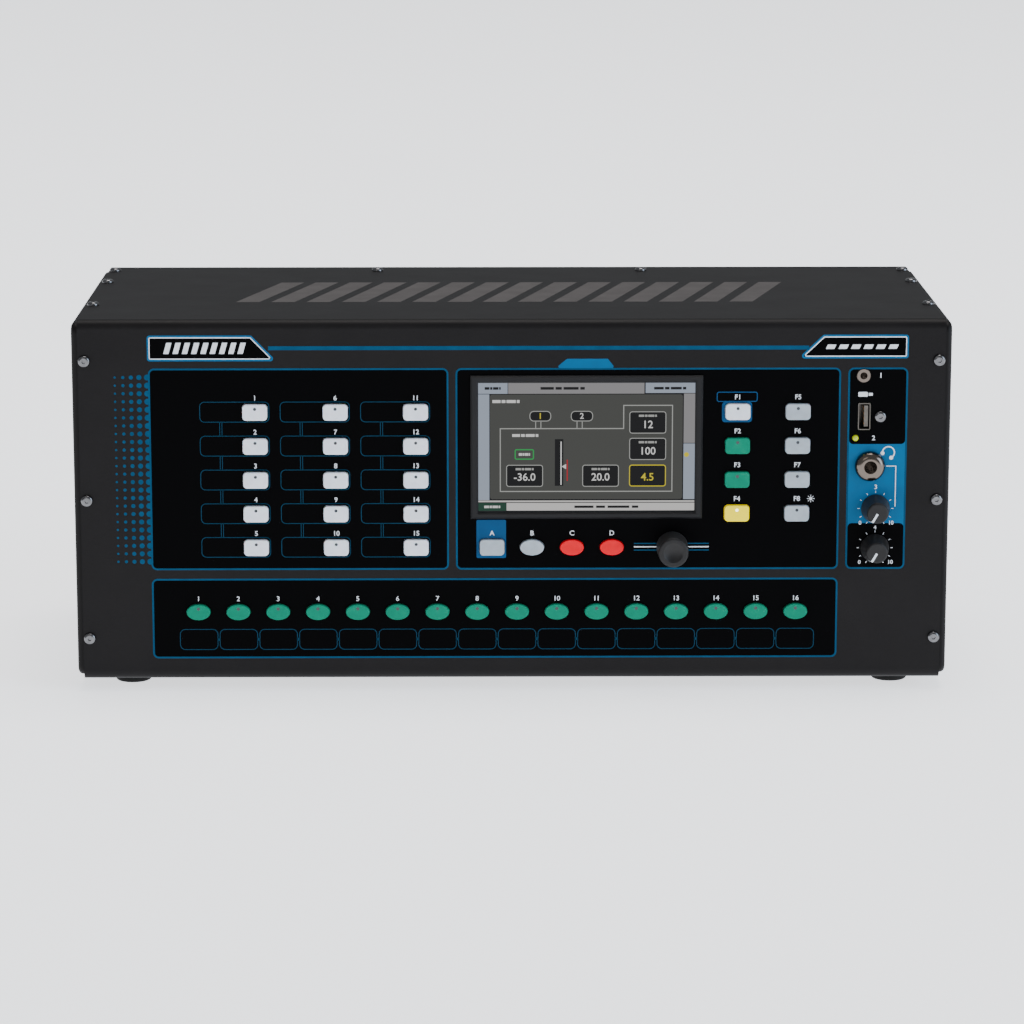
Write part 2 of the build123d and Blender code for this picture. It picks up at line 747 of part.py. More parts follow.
# ================================================================ front sockets
def make_front_sockets():
    """Headphone socket, line socket, data socket, lamp and the two pots, on a board of their own."""
    rear = board_y + board
    z_phones, z_line, z_usb = (floor_z + z for z in (phones_jack_z, line_jack_z, usb_z))
    nose_y = front_y - phones_nut_height
    nut = rod_y(phones_jack_x, z_phones, phones_nut_radius, nose_y, front_y)
    nut = fillet(nut.edges().filter_by(GeomType.CIRCLE).sort_by(Axis.Y)[0], phones_nut_dome)
    thread_end = panel_back + thread_overlap
    housing_y = panel_back + case_gap
    barrel = rod_y(phones_jack_x, z_phones, phones_barrel_radius, nose_y + 1, thread_end)
    bore_end = nose_y + phones_bore_length
    housing = slab_y(
        Rectangle(*phones_case), phones_jack_x, z_phones, housing_y, bore_end + jack_wall
    )
    phones = nut + barrel + housing
    phones -= rod_y(phones_jack_x, z_phones, phones_bore_radius, nose_y - 1, bore_end)

    line_y = front_y - line_proud
    line_end = line_y + line_bore_length
    line = rod_y(line_jack_x, z_line, line_barrel_radius, line_y, thread_end)
    line += slab_y(
        Rectangle(line_case, line_case), line_jack_x, z_line, housing_y, line_end + jack_wall
    )
    line -= rod_y(line_jack_x, z_line, line_bore_radius, line_y - 1, line_end)

    usb_y = front_y + usb_recess
    usb_end = usb_y + usb_depth
    shell = [s + 2 * usb_wall for s in usb_opening]
    usb = slab_y(RectangleRounded(*shell, usb_corner), usb_x, z_usb, usb_y, usb_end)
    usb -= slab_y(
        RectangleRounded(*usb_opening, usb_corner / 2), usb_x, z_usb, usb_y - 1, usb_end - usb_back_wall
    )
    tongue_x = usb_x + usb_opening[0] / 2 - usb_tongue_gap - usb_tongue[0] / 2
    usb += slab_y(
        Rectangle(*usb_tongue), tongue_x, z_usb, usb_y + usb_tongue_start, usb_end - usb_back_wall / 2
    )

    dome_y = front_y - lamp_proud
    lamp = rod_y(lamp_x, floor_z + lamp_z, lamp_radius, dome_y, board_y)
    lamp += Pos(lamp_x, dome_y, floor_z + lamp_z) * Sphere(lamp_radius)

    pots = [rotary_body(*knobs[n], pot_body) for n in ("phones_knob", "alt_out_knob")]
    plate = block(
        strip_x - level_knob_radius - strip_board_margin,
        inner_half - strip_board_end,
        board_y,
        rear,
        floor_z + alt_knob_z - strip_board_below,
        floor_z + line_jack_z + strip_board_above,
    )
    cutouts = (
        (phones_jack_x, z_phones, *phones_cutout),
        (line_jack_x, z_line, line_cutout, line_cutout),
        (usb_x, z_usb, *usb_cutout),
    )
    for x, z, half_x, half_z in cutouts:
        plate -= block(x - half_x, x + half_x, board_y - 1, rear + 1, z - half_z, z + half_z)
    return [phones, line, usb, lamp, *pots, plate]


# ================================================================ rear sockets
def input_places():
    return [
        (first_input_x - xlr_pitch * i, floor_z + z) for z in xlr_rows for i in range(input_columns)
    ]


def output_places():
    return [
        (first_output_x - xlr_pitch * i, floor_z + z)
        for z in xlr_rows
        for i in range(output_columns)
    ]


def trs_places():
    return [(first_input_x - xlr_pitch * i, floor_z + trs_row) for i in range(trs_columns)]


def net_rows():
    return [floor_z + z for z in xlr_rows]


def xlr_shell():
    """Nose and body of a three-pin panel socket at the origin, before its contacts."""
    nose = rod_y(0, 0, xlr_nose_radius, rear_y - sheet - 1, rear_y + xlr_nose_proud)
    nose = fillet(nose.edges().sort_by(Axis.Y)[-1], xlr_edge_radius)
    y1 = rear_y - sheet - seam
    outline = RectangleRounded(xlr_body, xlr_body + 2 * xlr_body_rise, xlr_corner)
    return nose + slab_y(outline, 0, 0, y1 - xlr_depth, y1)


def pin_spots():
    """Three contacts on a circle, two above and one below."""
    return [
        (pin_circle * math.cos(math.radians(a)), pin_circle * math.sin(math.radians(a)))
        for a in (30, 150, 270)
    ]


def make_input_socket():
    face_y = rear_y + xlr_nose_proud
    groove = rod_y(0, 0, inlet_groove_outer, face_y - inlet_groove_depth, face_y + 1)
    groove -= rod_y(0, 0, inlet_groove_inner, face_y - inlet_groove_depth - 1, face_y + 2)
    return xlr_shell() - groove


def make_output_socket():
    """Open cup with three pins that stand on its floor."""
    face_y = rear_y + xlr_nose_proud
    floor_y = face_y - outlet_cup_depth
    cup = xlr_shell() - rod_y(0, 0, outlet_cup_radius, floor_y, face_y + 1)
    return cup + [rod_y(x, z, pin_radius, floor_y - 1, floor_y + pin_length) for x, z in pin_spots()]


def boxed_socket(x, z, shell, opening, depth, proud):
    """A rectangular socket: a metal shell with an open mouth."""
    y1 = rear_y + proud
    body = slab_y(Rectangle(shell[0], shell[1]), x, z, y1 - shell[2], y1)
    return body - slab_y(Rectangle(*opening), x, z, y1 - depth, y1 + 1)


def make_trs_socket():
    face_y = rear_y + trs_nut_height
    nut = rod_y(0, 0, trs_nut_radius, rear_y, face_y)
    nut = chamfer(nut.edges().sort_by(Axis.Y)[-1], nut_bevel)
    y1 = rear_y - sheet - seam
    barrel = rod_y(0, 0, phones_barrel_radius, y1 - 1, rear_y + 1)
    case = slab_y(Rectangle(trs_case, trs_case), 0, 0, y1 - trs_bore_length, y1)
    return nut + barrel + case - rod_y(0, 0, trs_bore_radius, face_y - trs_bore_length, face_y + 1)


def make_mains_inlet():
    """Flanged three-blade mains inlet."""
    z = floor_z + mains_z
    face_y = rear_y + rear_proud
    plate_y = rear_y + mains_flange_gap
    outline = RectangleRounded(*mains_flange, mains_flange_corner)
    flange = slab_y(outline, mains_x, z, plate_y, face_y)
    flange = chamfer(flange.faces().sort_by(Axis.Y)[-1].edges(), mains_bevel)
    inlet = flange + slab_y(
        Rectangle(mains_body[0], mains_body[1]), mains_x, z, face_y - mains_body[2], plate_y + 1
    )
    mouth = Rectangle(*mains_opening)
    inlet -= slab_y(mouth, mains_x, z, face_y - mains_cavity, face_y + 1)
    for x, rise in ((-blade_spread, -blade_rise), (blade_spread, -blade_rise), (0, blade_rise)):
        pin = slab_y(
            Rectangle(blade[0], blade[1]),
            mains_x + x,
            z + rise,
            face_y - mains_cavity - 1,
            face_y - mains_cavity + blade[2],
        )
        inlet += pin
    return inlet


def make_rocker_frame():
    """Snap-in frame of the mains switch, with a well for the rocker."""
    z = floor_z + mains_z
    y1 = rear_y + rocker_frame_proud
    back = rear_y - rocker_pivot_depth - rocker_radius - rocker_back_wall
    outline = RectangleRounded(*rocker_frame, rocker_frame_corner)
    frame = slab_y(outline, rocker_x, z, rear_y + mains_flange_gap, y1)
    shell = Rectangle(*(size - 2 * rocker_shell_margin for size in rocker_frame))
    frame += slab_y(shell, rocker_x, z, back, rear_y + rocker_frame_proud / 2)
    well_height = 2 * (rocker_radius + rocker_fit)
    well = Rectangle(rocker_width + 2 * rocker_fit, well_height)
    well_back = rear_y - rocker_pivot_depth - rocker_radius - rocker_fit
    return frame - slab_y(well, rocker_x, z, well_back, y1 + 1)


def make_rocker():
    """Rocker of the mains switch, pressed at its upper end: a round back and a shallow V in front."""
    z = floor_z + mains_z
    pivot_y = rear_y - rocker_pivot_depth
    slope = math.tan(math.radians(rocker_tilt))
    low = rocker_pivot_depth - rocker_face_sink
    reach = rocker_radius + rocker_reach
    with BuildSketch(Plane.YZ) as side:
        with Locations((0, 0)):
            Circle(rocker_radius)
        with BuildLine():
            Polyline(
                (low, 0),
                (low + reach * slope, reach),
                (2 * reach, reach),
                (2 * reach, -reach),
                (low + reach * slope, -reach),
                (low, 0),
            )
        make_face(mode=Mode.SUBTRACT)
    rocker = extrude(side.sketch, rocker_width / 2, both=True)
    rocker = Rot(rocker_tilt, 0, 0) * rocker
    return Pos(rocker_x, pivot_y, z) * rocker


def make_rear_sockets():
    """All the sockets of the rear panel and the board that they are soldered to."""
    inlet, outlet, trs = make_input_socket(), make_output_socket(), make_trs_socket()
    pieces = [Pos(x, 0, z) * inlet for x, z in input_places()]
    pieces += [Pos(x, 0, z) * outlet for x, z in output_places()]
    pieces += [Pos(x, 0, z) * trs for x, z in trs_places()]
    pieces += [
        boxed_socket(net_x, z, net_shell, net_opening, net_depth, net_proud) for z in net_rows()
    ]
    data = boxed_socket(data_x, floor_z + data_z, data_shell, data_opening, data_depth, net_proud)
    core_y = rear_y + net_proud - data_depth - 1
    core = slab_y(
        Rectangle(*data_core), data_x, floor_z + data_z, core_y, rear_y - data_core_recess
    )
    pieces += [data + core, make_mains_inlet(), make_rocker_frame()]
    board_face = rear_y - sheet - seam - trs_bore_length - rear_board_gap
    low = floor_z + trs_row - rear_board_below
    high = floor_z + xlr_rows[0] + rear_board_above
    left, right = net_x - rear_board_side, first_input_x + xlr_pitch / 2
    pieces.append(block(left, right, board_face - board, board_face, low, high))
    return pieces


# ================================================================ inside
def box_on(x, y, z, size):
    """A box with its left front lower corner at a place."""
    return block(x, x + size[0], y, y + size[1], z, z + size[2])


def make_main_board():
    """Processor board on its pillars, with chips, a heat sink and capacitors."""
    z = floor_z + sheet + main_board_lift
    x0, x1 = -inner_half + main_board_left, inner_half - main_board_right
    y0, y1 = front_y + main_board_front, rear_y - main_board_rear
    top = z + board
    plate = block(x0, x1, y0, y1, z, top)
    chip = (chip_size, chip_size, chip_height)
    made = [box_on(x0 + chip_left + chip_pitch * i, y0 + chip_front, top, chip) for i in range(chips)]
    sink_x, sink_y = x0 + sink_place[0], y0 + sink_place[1]
    sink = box_on(sink_x, sink_y, top, (*sink_size, sink_base))
    fin_pitch = (sink_size[0] - sink_fin) / (sink_fins - 1)
    fin = (sink_fin, sink_size[1], sink_height)
    sink += [box_on(sink_x + fin_pitch * i, sink_y, top, fin) for i in range(sink_fins)]
    can_y = y0 + can_place[1]
    made += [
        rod_z(x0 + can_place[0] + can_pitch * i, can_y, can_radius, top, top + can_height)
        for i in range(cans)
    ]
    made += [
        rod_z(x, y, pillar_radius, floor_z + sheet, z)
        for x in (x0 + pillar_inset, x1 - pillar_inset)
        for y in (y0 + pillar_inset, y1 - pillar_inset)
    ]
    return [plate, sink, *made]


def make_power_supply():
    """Open-frame power supply beside the mains inlet: bracket, transformer, coil and capacitors."""
    x0 = -inner_half + supply_left
    y0 = front_y + supply_front
    z0 = floor_z + sheet
    x1, y1 = x0 + supply_width, y0 + supply_depth
    bracket = block(x0, x1, y0, y1, z0, z0 + sheet)
    bracket += block(x0, x0 + sheet, y0, y1, z0, z0 + supply_height)
    plate_z = z0 + supply_plate_lift
    top = plate_z + board
    edge = supply_plate_edge
    plate = block(x0 + supply_plate_left, x1 - edge, y0 + edge, y1 - edge, plate_z, top)
    inset_left, inset_right = supply_post_inset
    posts = [
        rod_z(x, y, supply_post_radius, z0 + sheet, plate_z)
        for x in (x0 + inset_left, x1 - inset_right)
        for y in (y0 + inset_left, y1 - inset_left)
    ]
    made = [
        box_on(x0 + transformer_place[0], y0 + transformer_place[1], top, transformer),
        box_on(x0 + coil_place[0], y0 + coil_place[1], top, coil),
        rod_z(x0 + bulk_place[0], y0 + bulk_place[1], bulk_radius, top, top + bulk_height),
    ]
    can_x, can_y = x0 + output_can_place[0], y0 + output_can_place[1]
    made += [
        rod_z(can_x + output_can_pitch * i, can_y, can_radius, top, top + output_can_height)
        for i in range(output_cans)
    ]
    return [bracket, plate, *posts, *made]


# ================================================================ feet and screws
def make_feet():
    feet = []
    for x, y in foot_places():
        foot = rod_z(x, y, foot_radius, 0, foot_height)
        foot = fillet(foot.edges().sort_by(Axis.Z)[0], foot_edge_radius)
        foot -= rod_z(x, y, foot_bore_radius, -1, foot_bore_depth)
        feet.append(foot - rod_z(x, y, screw_hole_radius, 0, foot_height + 1))
    return feet


def make_screws():
    """One button-head screw, repeated at every place that the case is fastened."""
    head = Pos(0, 0, head_height / 2) * Cylinder(head_radius, head_height)
    head = fillet(head.edges().sort_by(Axis.Z)[-1], head_height - head_rim)
    recess = Pos(0, 0, head_height) * extrude(RegularPolygon(socket_radius, 6), -socket_depth)
    screw = head + Pos(0, 0, -screw_length / 2) * Cylinder(screw_radius, screw_length) - recess
    facing_front, facing_rear, facing_down = Rot(90, 0, 0), Rot(-90, 0, 0), Rot(180, 0, 0)
    screws = [Pos(x, front_y, z) * facing_front * screw for x, z in front_screws()]
    screws.append(Pos(usb_screw_x, front_y, floor_z + usb_z) * facing_front * screw)
    screws += [Pos(x, rear_y, z) * facing_rear * screw for x, z in rear_screws()]
    screws += [Pos(x, y, top_z) * screw for x, y in top_screws()]
    screws += [Pos(x, y, foot_bore_depth) * facing_down * screw for x, y in foot_places()]
    board_back = board_y + board
    screws += [
        Pos(x, board_back, floor_z + z) * facing_rear * screw for x, z in standoff_places()
    ]
    return screws


# ================================================================ write every node
os.makedirs("parts", exist_ok=True)
for name, (kind, lit, x, z) in keys.items():
    save(name, *[Pos(x, 0, floor_z + z) * piece for piece in make_key(kind, lit)])
for name in knobs:
    save(name, *make_knob(name))
save("mains_rocker", make_rocker())
save("front_top_cover", *make_cover())
save("rear_floor_chassis", *make_chassis())
save("end_plate_left", make_end_plate(-1))
save("end_plate_right", make_end_plate(1))
save("screen_bezel", make_bezel())
save("touch_display", *make_display())
save("control_board", *make_control_board())
save("front_sockets", *make_front_sockets())
save("rear_sockets", *make_rear_sockets())
save("main_board", *make_main_board())
save("power_supply", *make_power_supply())
save("rubber_feet", *make_feet())
save("case_screws", *make_screws())
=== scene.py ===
import math
import bpy
import bmesh
from mathutils import Matrix, Vector


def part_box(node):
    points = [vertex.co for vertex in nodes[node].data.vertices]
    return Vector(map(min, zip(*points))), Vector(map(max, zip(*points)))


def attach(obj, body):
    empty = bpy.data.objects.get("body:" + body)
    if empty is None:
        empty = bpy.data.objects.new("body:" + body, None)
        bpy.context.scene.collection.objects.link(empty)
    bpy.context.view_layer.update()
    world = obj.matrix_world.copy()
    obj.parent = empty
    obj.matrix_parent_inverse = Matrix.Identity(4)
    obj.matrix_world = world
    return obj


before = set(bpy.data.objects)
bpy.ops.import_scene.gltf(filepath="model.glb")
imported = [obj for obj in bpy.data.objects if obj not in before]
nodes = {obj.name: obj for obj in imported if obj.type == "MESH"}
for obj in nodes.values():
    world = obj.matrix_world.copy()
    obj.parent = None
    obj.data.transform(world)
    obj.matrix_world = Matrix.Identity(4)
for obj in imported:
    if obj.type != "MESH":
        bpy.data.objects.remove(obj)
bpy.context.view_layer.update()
mm = 0.001

# the case's own faces, which everything on it is placed from
caseLow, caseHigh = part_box("front_top_cover")
frontY, rearY, baseZ, topZ = caseLow[1], caseHigh[1], caseLow[2], caseHigh[2]


def panelPlace(node):
    # where a node sits on the front panel: mm from the middle, mm above the case's underside
    low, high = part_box(node)
    return (low[0] + high[0]) / 2 / mm, ((low[2] + high[2]) / 2 - baseZ) / mm


softKeys = [f"soft_key_{n:02d}" for n in range(1, 16)]
channelKeys = [f"channel_key_{n:02d}" for n in range(1, 17)]
functionKeys = ["remote_key", "processing_key", "routing_key", "channel_view_key",
                "home_key", "effects_key", "scenes_key", "setup_key"]
editKeys = ["fn_key", "copy_key", "paste_key", "reset_key"]


# ---- small tools for objects, node trees and materials

def hexColour(code):
    # sRGB hex to the linear values that a shader wants
    parts = [int(code[i:i + 2], 16) / 255 for i in (1, 3, 5)]
    return [c / 12.92 if c <= 0.04045 else ((c + 0.055) / 1.055) ** 2.4 for c in parts] + [1.0]


def linked(name, data):
    # a new object in the scene
    item = bpy.data.objects.new(name, data)
    bpy.context.scene.collection.objects.link(item)
    return item


def addNode(tree, kind, settings=None, links=None):
    # a lower-case setting is the node's own, any other is the socket of that name or number;
    # a node given as a link's source stands for its first output
    node = tree.nodes.new(kind)
    for key, value in (settings or {}).items():
        if isinstance(key, str) and key[0].islower():
            setattr(node, key, value)
        else:
            node.inputs[key].default_value = value
    for key, source in (links or {}).items():
        tree.links.new(getattr(source, "outputs", [source])[0], node.inputs[key])
    return node


def noiseOver(tree, sizeMm, detail, stretch=(1, 1, 1)):
    # soft noise whose lumps are sizeMm across
    place = addNode(tree, "ShaderNodeTexCoord")
    turned = addNode(tree, "ShaderNodeMapping", {"Scale": stretch}, {"Vector": place.outputs["Object"]})
    return addNode(tree, "ShaderNodeTexNoise", {"Scale": 1 / (sizeMm * mm), "Detail": detail},
                   {"Vector": turned}).outputs["Fac"]


def mottle(mat, sizeMm, low, high, roughRange=None):
    # slow drift between two close shades, and in gloss, as on any sprayed or moulded surface
    tree = mat.node_tree
    shader = tree.nodes["Principled BSDF"]
    noise = noiseOver(tree, sizeMm, 4.0)
    ramp = addNode(tree, "ShaderNodeValToRGB", None, {"Fac": noise})
    for end, position, shade in zip(ramp.color_ramp.elements, (0.35, 0.65), (low, high)):
        end.position = position
        end.color = hexColour(shade)
    tree.links.new(ramp.outputs["Color"], shader.inputs["Base Color"])
    if roughRange:
        rough = addNode(tree, "ShaderNodeMapRange", {"To Min": roughRange[0], "To Max": roughRange[1]},
                        {"Value": noise})
        tree.links.new(rough.outputs[0], shader.inputs["Roughness"])


def grain(mat, sizeMm, depth, stretch=(1, 1, 1)):
    # bump that is depth mm high
    tree = mat.node_tree
    bump = addNode(tree, "ShaderNodeBump", {"Strength": 1.0, "Distance": depth * mm},
                   {"Height": noiseOver(tree, sizeMm, 2.0, stretch)})
    tree.links.new(bump.outputs[0], tree.nodes["Principled BSDF"].inputs["Normal"])


def newMaterial(name, colour, roughness, drift=None, bump=None, **sockets):
    # drift is what mottle is given, bump is what grain is given
    mat = bpy.data.materials.new(name)
    mat.use_nodes = True
    shader = mat.node_tree.nodes["Principled BSDF"]
    mat.diffuse_color = hexColour(colour)
    for key, value in {"Base_Color": hexColour(colour), "Roughness": roughness, **sockets}.items():
        shader.inputs[key.replace("_", " ")].default_value = value
    if drift:
        mottle(mat, *drift)
    if bump:
        grain(mat, *bump)
    return mat


def painted(name, colour, roughness, specular, drift=None, bump=None, **sockets):
    return newMaterial(name, colour, roughness, drift, bump, Specular_IOR_Level=specular, **sockets)


def metal(name, colour, roughness, drift=None, bump=None, metallic=1.0):
    return newMaterial(name, colour, roughness, drift, bump, Metallic=metallic)


def printInk(shade, colour, roughness, specular, drift=None, bump=None):
    # lacquered screen print, thin and even
    return painted("screenPrintedInk" + shade, colour, roughness, specular, drift, bump)


def keyPlastic(shade, colour, low, high, roughness=0.38, specular=0.12, depth=0.1, **sockets):
    # moulded silicone and polycarbonate, spark-eroded tool: soft sheen without a hard reflection
    return painted("mouldedPolycarbonate" + shade, colour, roughness, specular, (4, low, high, (0.34, 0.44)),
                   (0.35, 0.008), Subsurface_Weight=depth, Subsurface_Scale=0.002, **sockets)


# ---- materials

# polyester powder coat, sprayed and baked: a fine orange peel that spreads the light, no mirror;
# its real grit is 0.3 mm, drawn coarser so that it shows
powderCoat = painted("powderCoatedSteelBlack", "#100e0f", 0.5, 0.16, (26, "#0e0c0d", "#121011", (0.46, 0.56)),
                     (1.1, 0.05))
# the same coat on the chassis, a little flatter where it was masked and handled
powderCoatRear = painted("powderCoatedSteelRear", "#101011", 0.55, 0.16, (30, "#0e0e0f", "#131314", (0.5, 0.6)),
                         (1.2, 0.05))
# black ink under a hard matt lacquer is the deepest black on the panel
blackInk = printInk("Black", "#020203", 0.5, 0.03, None, (0.5, 0.004))
blueInk = printInk("Blue", "#084362", 0.45, 0.08, (8, "#07405e", "#094767"))
fineBlueInk = printInk("FineBlue", "#0f384e", 0.5, 0.06, (8, "#0e364b", "#103b52"))
solidBlueInk = printInk("BrightBlue", "#005a87", 0.45, 0.12, (9, "#005783", "#015d8b"))
deepBlueInk = printInk("DeepBlue", "#00436f", 0.45, 0.12, (9, "#00416c", "#004673"))
whiteInk = printInk("White", "#dfe4ea", 0.5, 0.3, (3, "#d9dee5", "#e6eaef"))
greyInk = printInk("Grey", "#514d4c", 0.55, 0.15, (12, "#4e4a49", "#555150"))
keyWhite = keyPlastic("White", "#e4e8f1", "#e0e5ee", "#e9edf5", specular=0.3, depth=0.12)
keyGreen = keyPlastic("Green", "#027d60", "#027a5e", "#038163")
keyGrey = keyPlastic("Grey", "#a3adb5", "#9fa9b1", "#a8b2ba", 0.4, 0.2)
keyRed = keyPlastic("Red", "#e2081f", "#de071d", "#e60b23")
keyYellow = keyPlastic("Lit", "#f0dc00", "#eddb00", "#f4e000", specular=0.1, depth=0.0,
                       Emission_Color=hexColour("#ffe000"), Emission_Strength=0.4)
# clear acrylic light pipe over an unlit lamp: dark, with one small bright reflection
lensDark = newMaterial("acrylicLightPipeUnlit", "#2c3036", 0.12, None, (0.8, 0.01), IOR=1.49)
lensLit = newMaterial("acrylicLightPipeLit", "#fffbd0", 0.12, None, (0.8, 0.01), IOR=1.49,
                      Emission_Color=hexColour("#fffbe0"), Emission_Strength=2.0)
lampGreen = newMaterial("epoxyLampYellowGreen", "#a8b41c", 0.2, None, (1.2, 0.01), IOR=1.5,
                        Emission_Color=hexColour("#b6c814"), Emission_Strength=0.35)
# injection-moulded ABS bezel, fine etched tool texture
bezelAbs = painted("mouldedAbsCharcoal", "#121214", 0.38, 0.2, (14, "#101012", "#141416", (0.34, 0.44)),
                   (0.5, 0.01))
# soft-touch coated knobs: dull, with a broad grey sheen at the edges
softTouch = painted("softTouchRubberBlack", "#111011", 0.46, 0.3, (5, "#0f0e0f", "#141314", (0.4, 0.52)),
                    (0.4, 0.012), Sheen_Weight=0.03)
footRubber = painted("mouldedRubberBlack", "#141414", 0.75, 0.3, (6, "#121212", "#181818", (0.68, 0.82)),
                     (0.6, 0.03))
# black-chromed brass nut: a dark mirror
blackChrome = metal("blackChromedBrass", "#6b625b", 0.16, None, (2.5, 0.01, (1, 0.3, 1)))
# nickel-plated shells and contacts; the memory socket's shell is tin-plated and duller
nickel = metal("nickelPlatedSteel", "#b9b4ac", 0.24, (5, "#b2ada5", "#c1bcb4", (0.2, 0.3)))
socketShell = metal("tinPlatedSocketSteel", "#5b5753", 0.3, (4, "#54504c", "#625e59", (0.26, 0.36)))
gold = metal("goldFlashedContact", "#c98b3a", 0.28, (1.5, "#c08335", "#d19242", (0.24, 0.34)))
# zinc-plated screws with a dark passivation: neutral grey, bright where they face the light
zincScrew = metal("zincPlatedScrewSteel", "#6a6a6c", 0.2, (2, "#636365", "#727274", (0.16, 0.26)))
aluminium = metal("extrudedAluminium", "#b8babc", 0.34, None, (1.0, 0.01, (1, 0.08, 1)))
# black chromate on die-cast zinc connector shells
dieCast = metal("blackChromatedDieCastZinc", "#26272a", 0.36, (7, "#232427", "#2b2c2f", (0.3, 0.44)),
                (0.9, 0.02), metallic=0.6)
# glass-filled nylon of sockets and switches, lacquered boards and the epoxy of chips
nylonBlack = newMaterial("glassFilledNylonBlack", "#121214", 0.48, (6, "#101012", "#161618", (0.42, 0.55)),
                         (0.7, 0.02))
solderMask = newMaterial("solderMaskGreen", "#0d4a2a", 0.32, (10, "#0b4426", "#10502f", (0.28, 0.38)),
                         (1.4, 0.02))
chipEpoxy = newMaterial("mouldedEpoxyBlack", "#1c1c1e", 0.5, (4, "#19191b", "#202022", (0.45, 0.56)))
print("materials:", len(bpy.data.materials))


# ---- shapes drawn flat on a panel, in mm

def roundCorners(points, radius, steps=5):
    # an outline with each corner turned into an arc
    out = []
    count = len(points)
    for i in range(count):
        here = Vector(points[i])
        back = (Vector(points[i - 1]) - here).normalized()
        ahead = (Vector(points[(i + 1) % count]) - here).normalized()
        half = back.angle(ahead) / 2
        reach = radius / math.tan(half)
        centre = here + (back + ahead).normalized() * (radius / math.sin(half))
        first = here + back * reach - centre
        last = here + ahead * reach - centre
        sweep = first.angle_signed(last)
        for k in range(steps + 1):
            turn = Matrix.Rotation(-sweep * k / steps, 2)
            out.append(tuple(centre + turn @ first))
    return out


def box2d(x0, x1, z0, z1):
    return [(x0, z0), (x1, z0), (x1, z1), (x0, z1)]


def inset(points, distance):
    # a convex outline moved inwards by a distance
    out = []
    count = len(points)
    area = sum(points[i - 1][0] * points[i][1] - points[i][0] * points[i - 1][1] for i in range(count))
    side = 1 if area > 0 else -1
    for i in range(count):
        a, b, c = (Vector(points[j % count]) for j in (i - 1, i, i + 1))
        n1 = Vector((-(b - a).y, (b - a).x)).normalized() * side
        n2 = Vector((-(c - b).y, (c - b).x)).normalized() * side
        shift = (n1 + n2) * (distance / (1 + n1.dot(n2)))
        out.append(tuple(b + shift))
    return out


def circle2d(x, z, rx, rz=None, steps=40):
    rz = rx if rz is None else rz
    return [(x + rx * math.cos(2 * math.pi * k / steps), z + rz * math.sin(2 * math.pi * k / steps))
            for k in range(steps)]


def ring(points, radius, width):
    # a rounded outline with a line's width, as two loops
    inner = max(radius - width, 0.25)
    return [roundCorners(points, radius), roundCorners(inset(points, width), inner)]


def bar2d(x0, x1, z, width):
    return box2d(x0, x1, z - width / 2, z + width / 2)


frontPlane = Matrix(((1, 0, 0, 0), (0, 0, -1, frontY), (0, 1, 0, baseZ), (0, 0, 0, 1)))


def newPiece(name, mesh, mat, body="case"):
    piece = linked(name, mesh)
    mesh.materials.clear()
    mesh.materials.append(mat)
    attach(piece, body)
    return piece


def meshFrom(holder):
    # the evaluated object as a plain mesh, and the object itself gone
    bpy.context.view_layer.update()
    graph = bpy.context.evaluated_depsgraph_get()
    mesh = bpy.data.meshes.new_from_object(holder.evaluated_get(graph))
    bpy.data.objects.remove(holder)
    return mesh


def meshOf(name, built):
    # a mesh from a finished bmesh
    mesh = bpy.data.meshes.new(name)
    built.to_mesh(mesh)
    built.free()
    return mesh


def onPlane(plane, x, z, height):
    return plane @ Matrix.Translation((x * mm, z * mm, height * mm))


def printed(name, loops, mat, low, high, plane=frontPlane):
    # filled outlines in mm; loops inside others cut holes; low to high is the height off the panel
    curve = bpy.data.curves.new(name, "CURVE")
    curve.dimensions = "2D"
    curve.fill_mode = "BOTH"
    curve.extrude = (high - low) / 2 * mm
    for loop in loops:
        spline = curve.splines.new("POLY")
        spline.points.add(len(loop) - 1)
        for point, (x, z) in zip(spline.points, loop):
            point.co = (x * mm, z * mm, 0, 1)
        spline.use_cyclic_u = True
    mesh = meshFrom(linked(name + "Outline", curve))
    mesh.transform(onPlane(plane, 0, 0, (low + high) / 2))
    return newPiece(name, mesh, mat)


def lettering(name, items, mat, low, high, plane=frontPlane, weight=0.0):
    # generic figures: (text, x, z, height in mm), centred on their place
    joined = bmesh.new()
    for text, x, z, height in items:
        curve = bpy.data.curves.new(name, "FONT")
        curve.body = text
        curve.align_x = "CENTER"
        curve.align_y = "CENTER"
        curve.size = height * mm * 1.38     # the font's figures are 1 / 1.38 of its size high
        curve.offset = weight * mm
        curve.extrude = (high - low) / 2 * mm
        curve.resolution_u = 3
        mesh = meshFrom(linked(name + "Text", curve))
        mesh.transform(onPlane(plane, x, z, (low + high) / 2))
        joined.from_mesh(mesh)
        bpy.data.meshes.remove(mesh)
    return newPiece(name, meshOf(name, joined), mat)


# ---- finishes for the CAD nodes, solid by solid where a node holds several

def solidsOf(node):
    # a node's separate solids: (face numbers, lowest corner, highest corner), in mm off the case's
    # front low edge
    mesh = nodes[node].data
    seen = {}
    parent = []
    corner = []
    for v in mesh.vertices:
        key = tuple(round(c * 1e6) for c in v.co)
        if key not in seen:
            seen[key] = len(parent)
            parent.append(len(parent))
        corner.append(seen[key])

    def root(i):
        while parent[i] != i:
            parent[i] = parent[parent[i]]
            i = parent[i]
        return i

    for face in mesh.polygons:
        first = root(corner[face.vertices[0]])
        for v in face.vertices[1:]:
            parent[root(corner[v])] = first
    groups = {}
    for face in mesh.polygons:
        groups.setdefault(root(corner[face.vertices[0]]), []).append(face.index)
    places = [[(c - o) / mm for c, o in zip(v.co, (0, frontY, baseZ))] for v in mesh.vertices]
    for faces in groups.values():
        points = [places[v] for f in faces for v in mesh.polygons[f].vertices]
        yield faces, [min(c) for c in zip(*points)], [max(c) for c in zip(*points)]


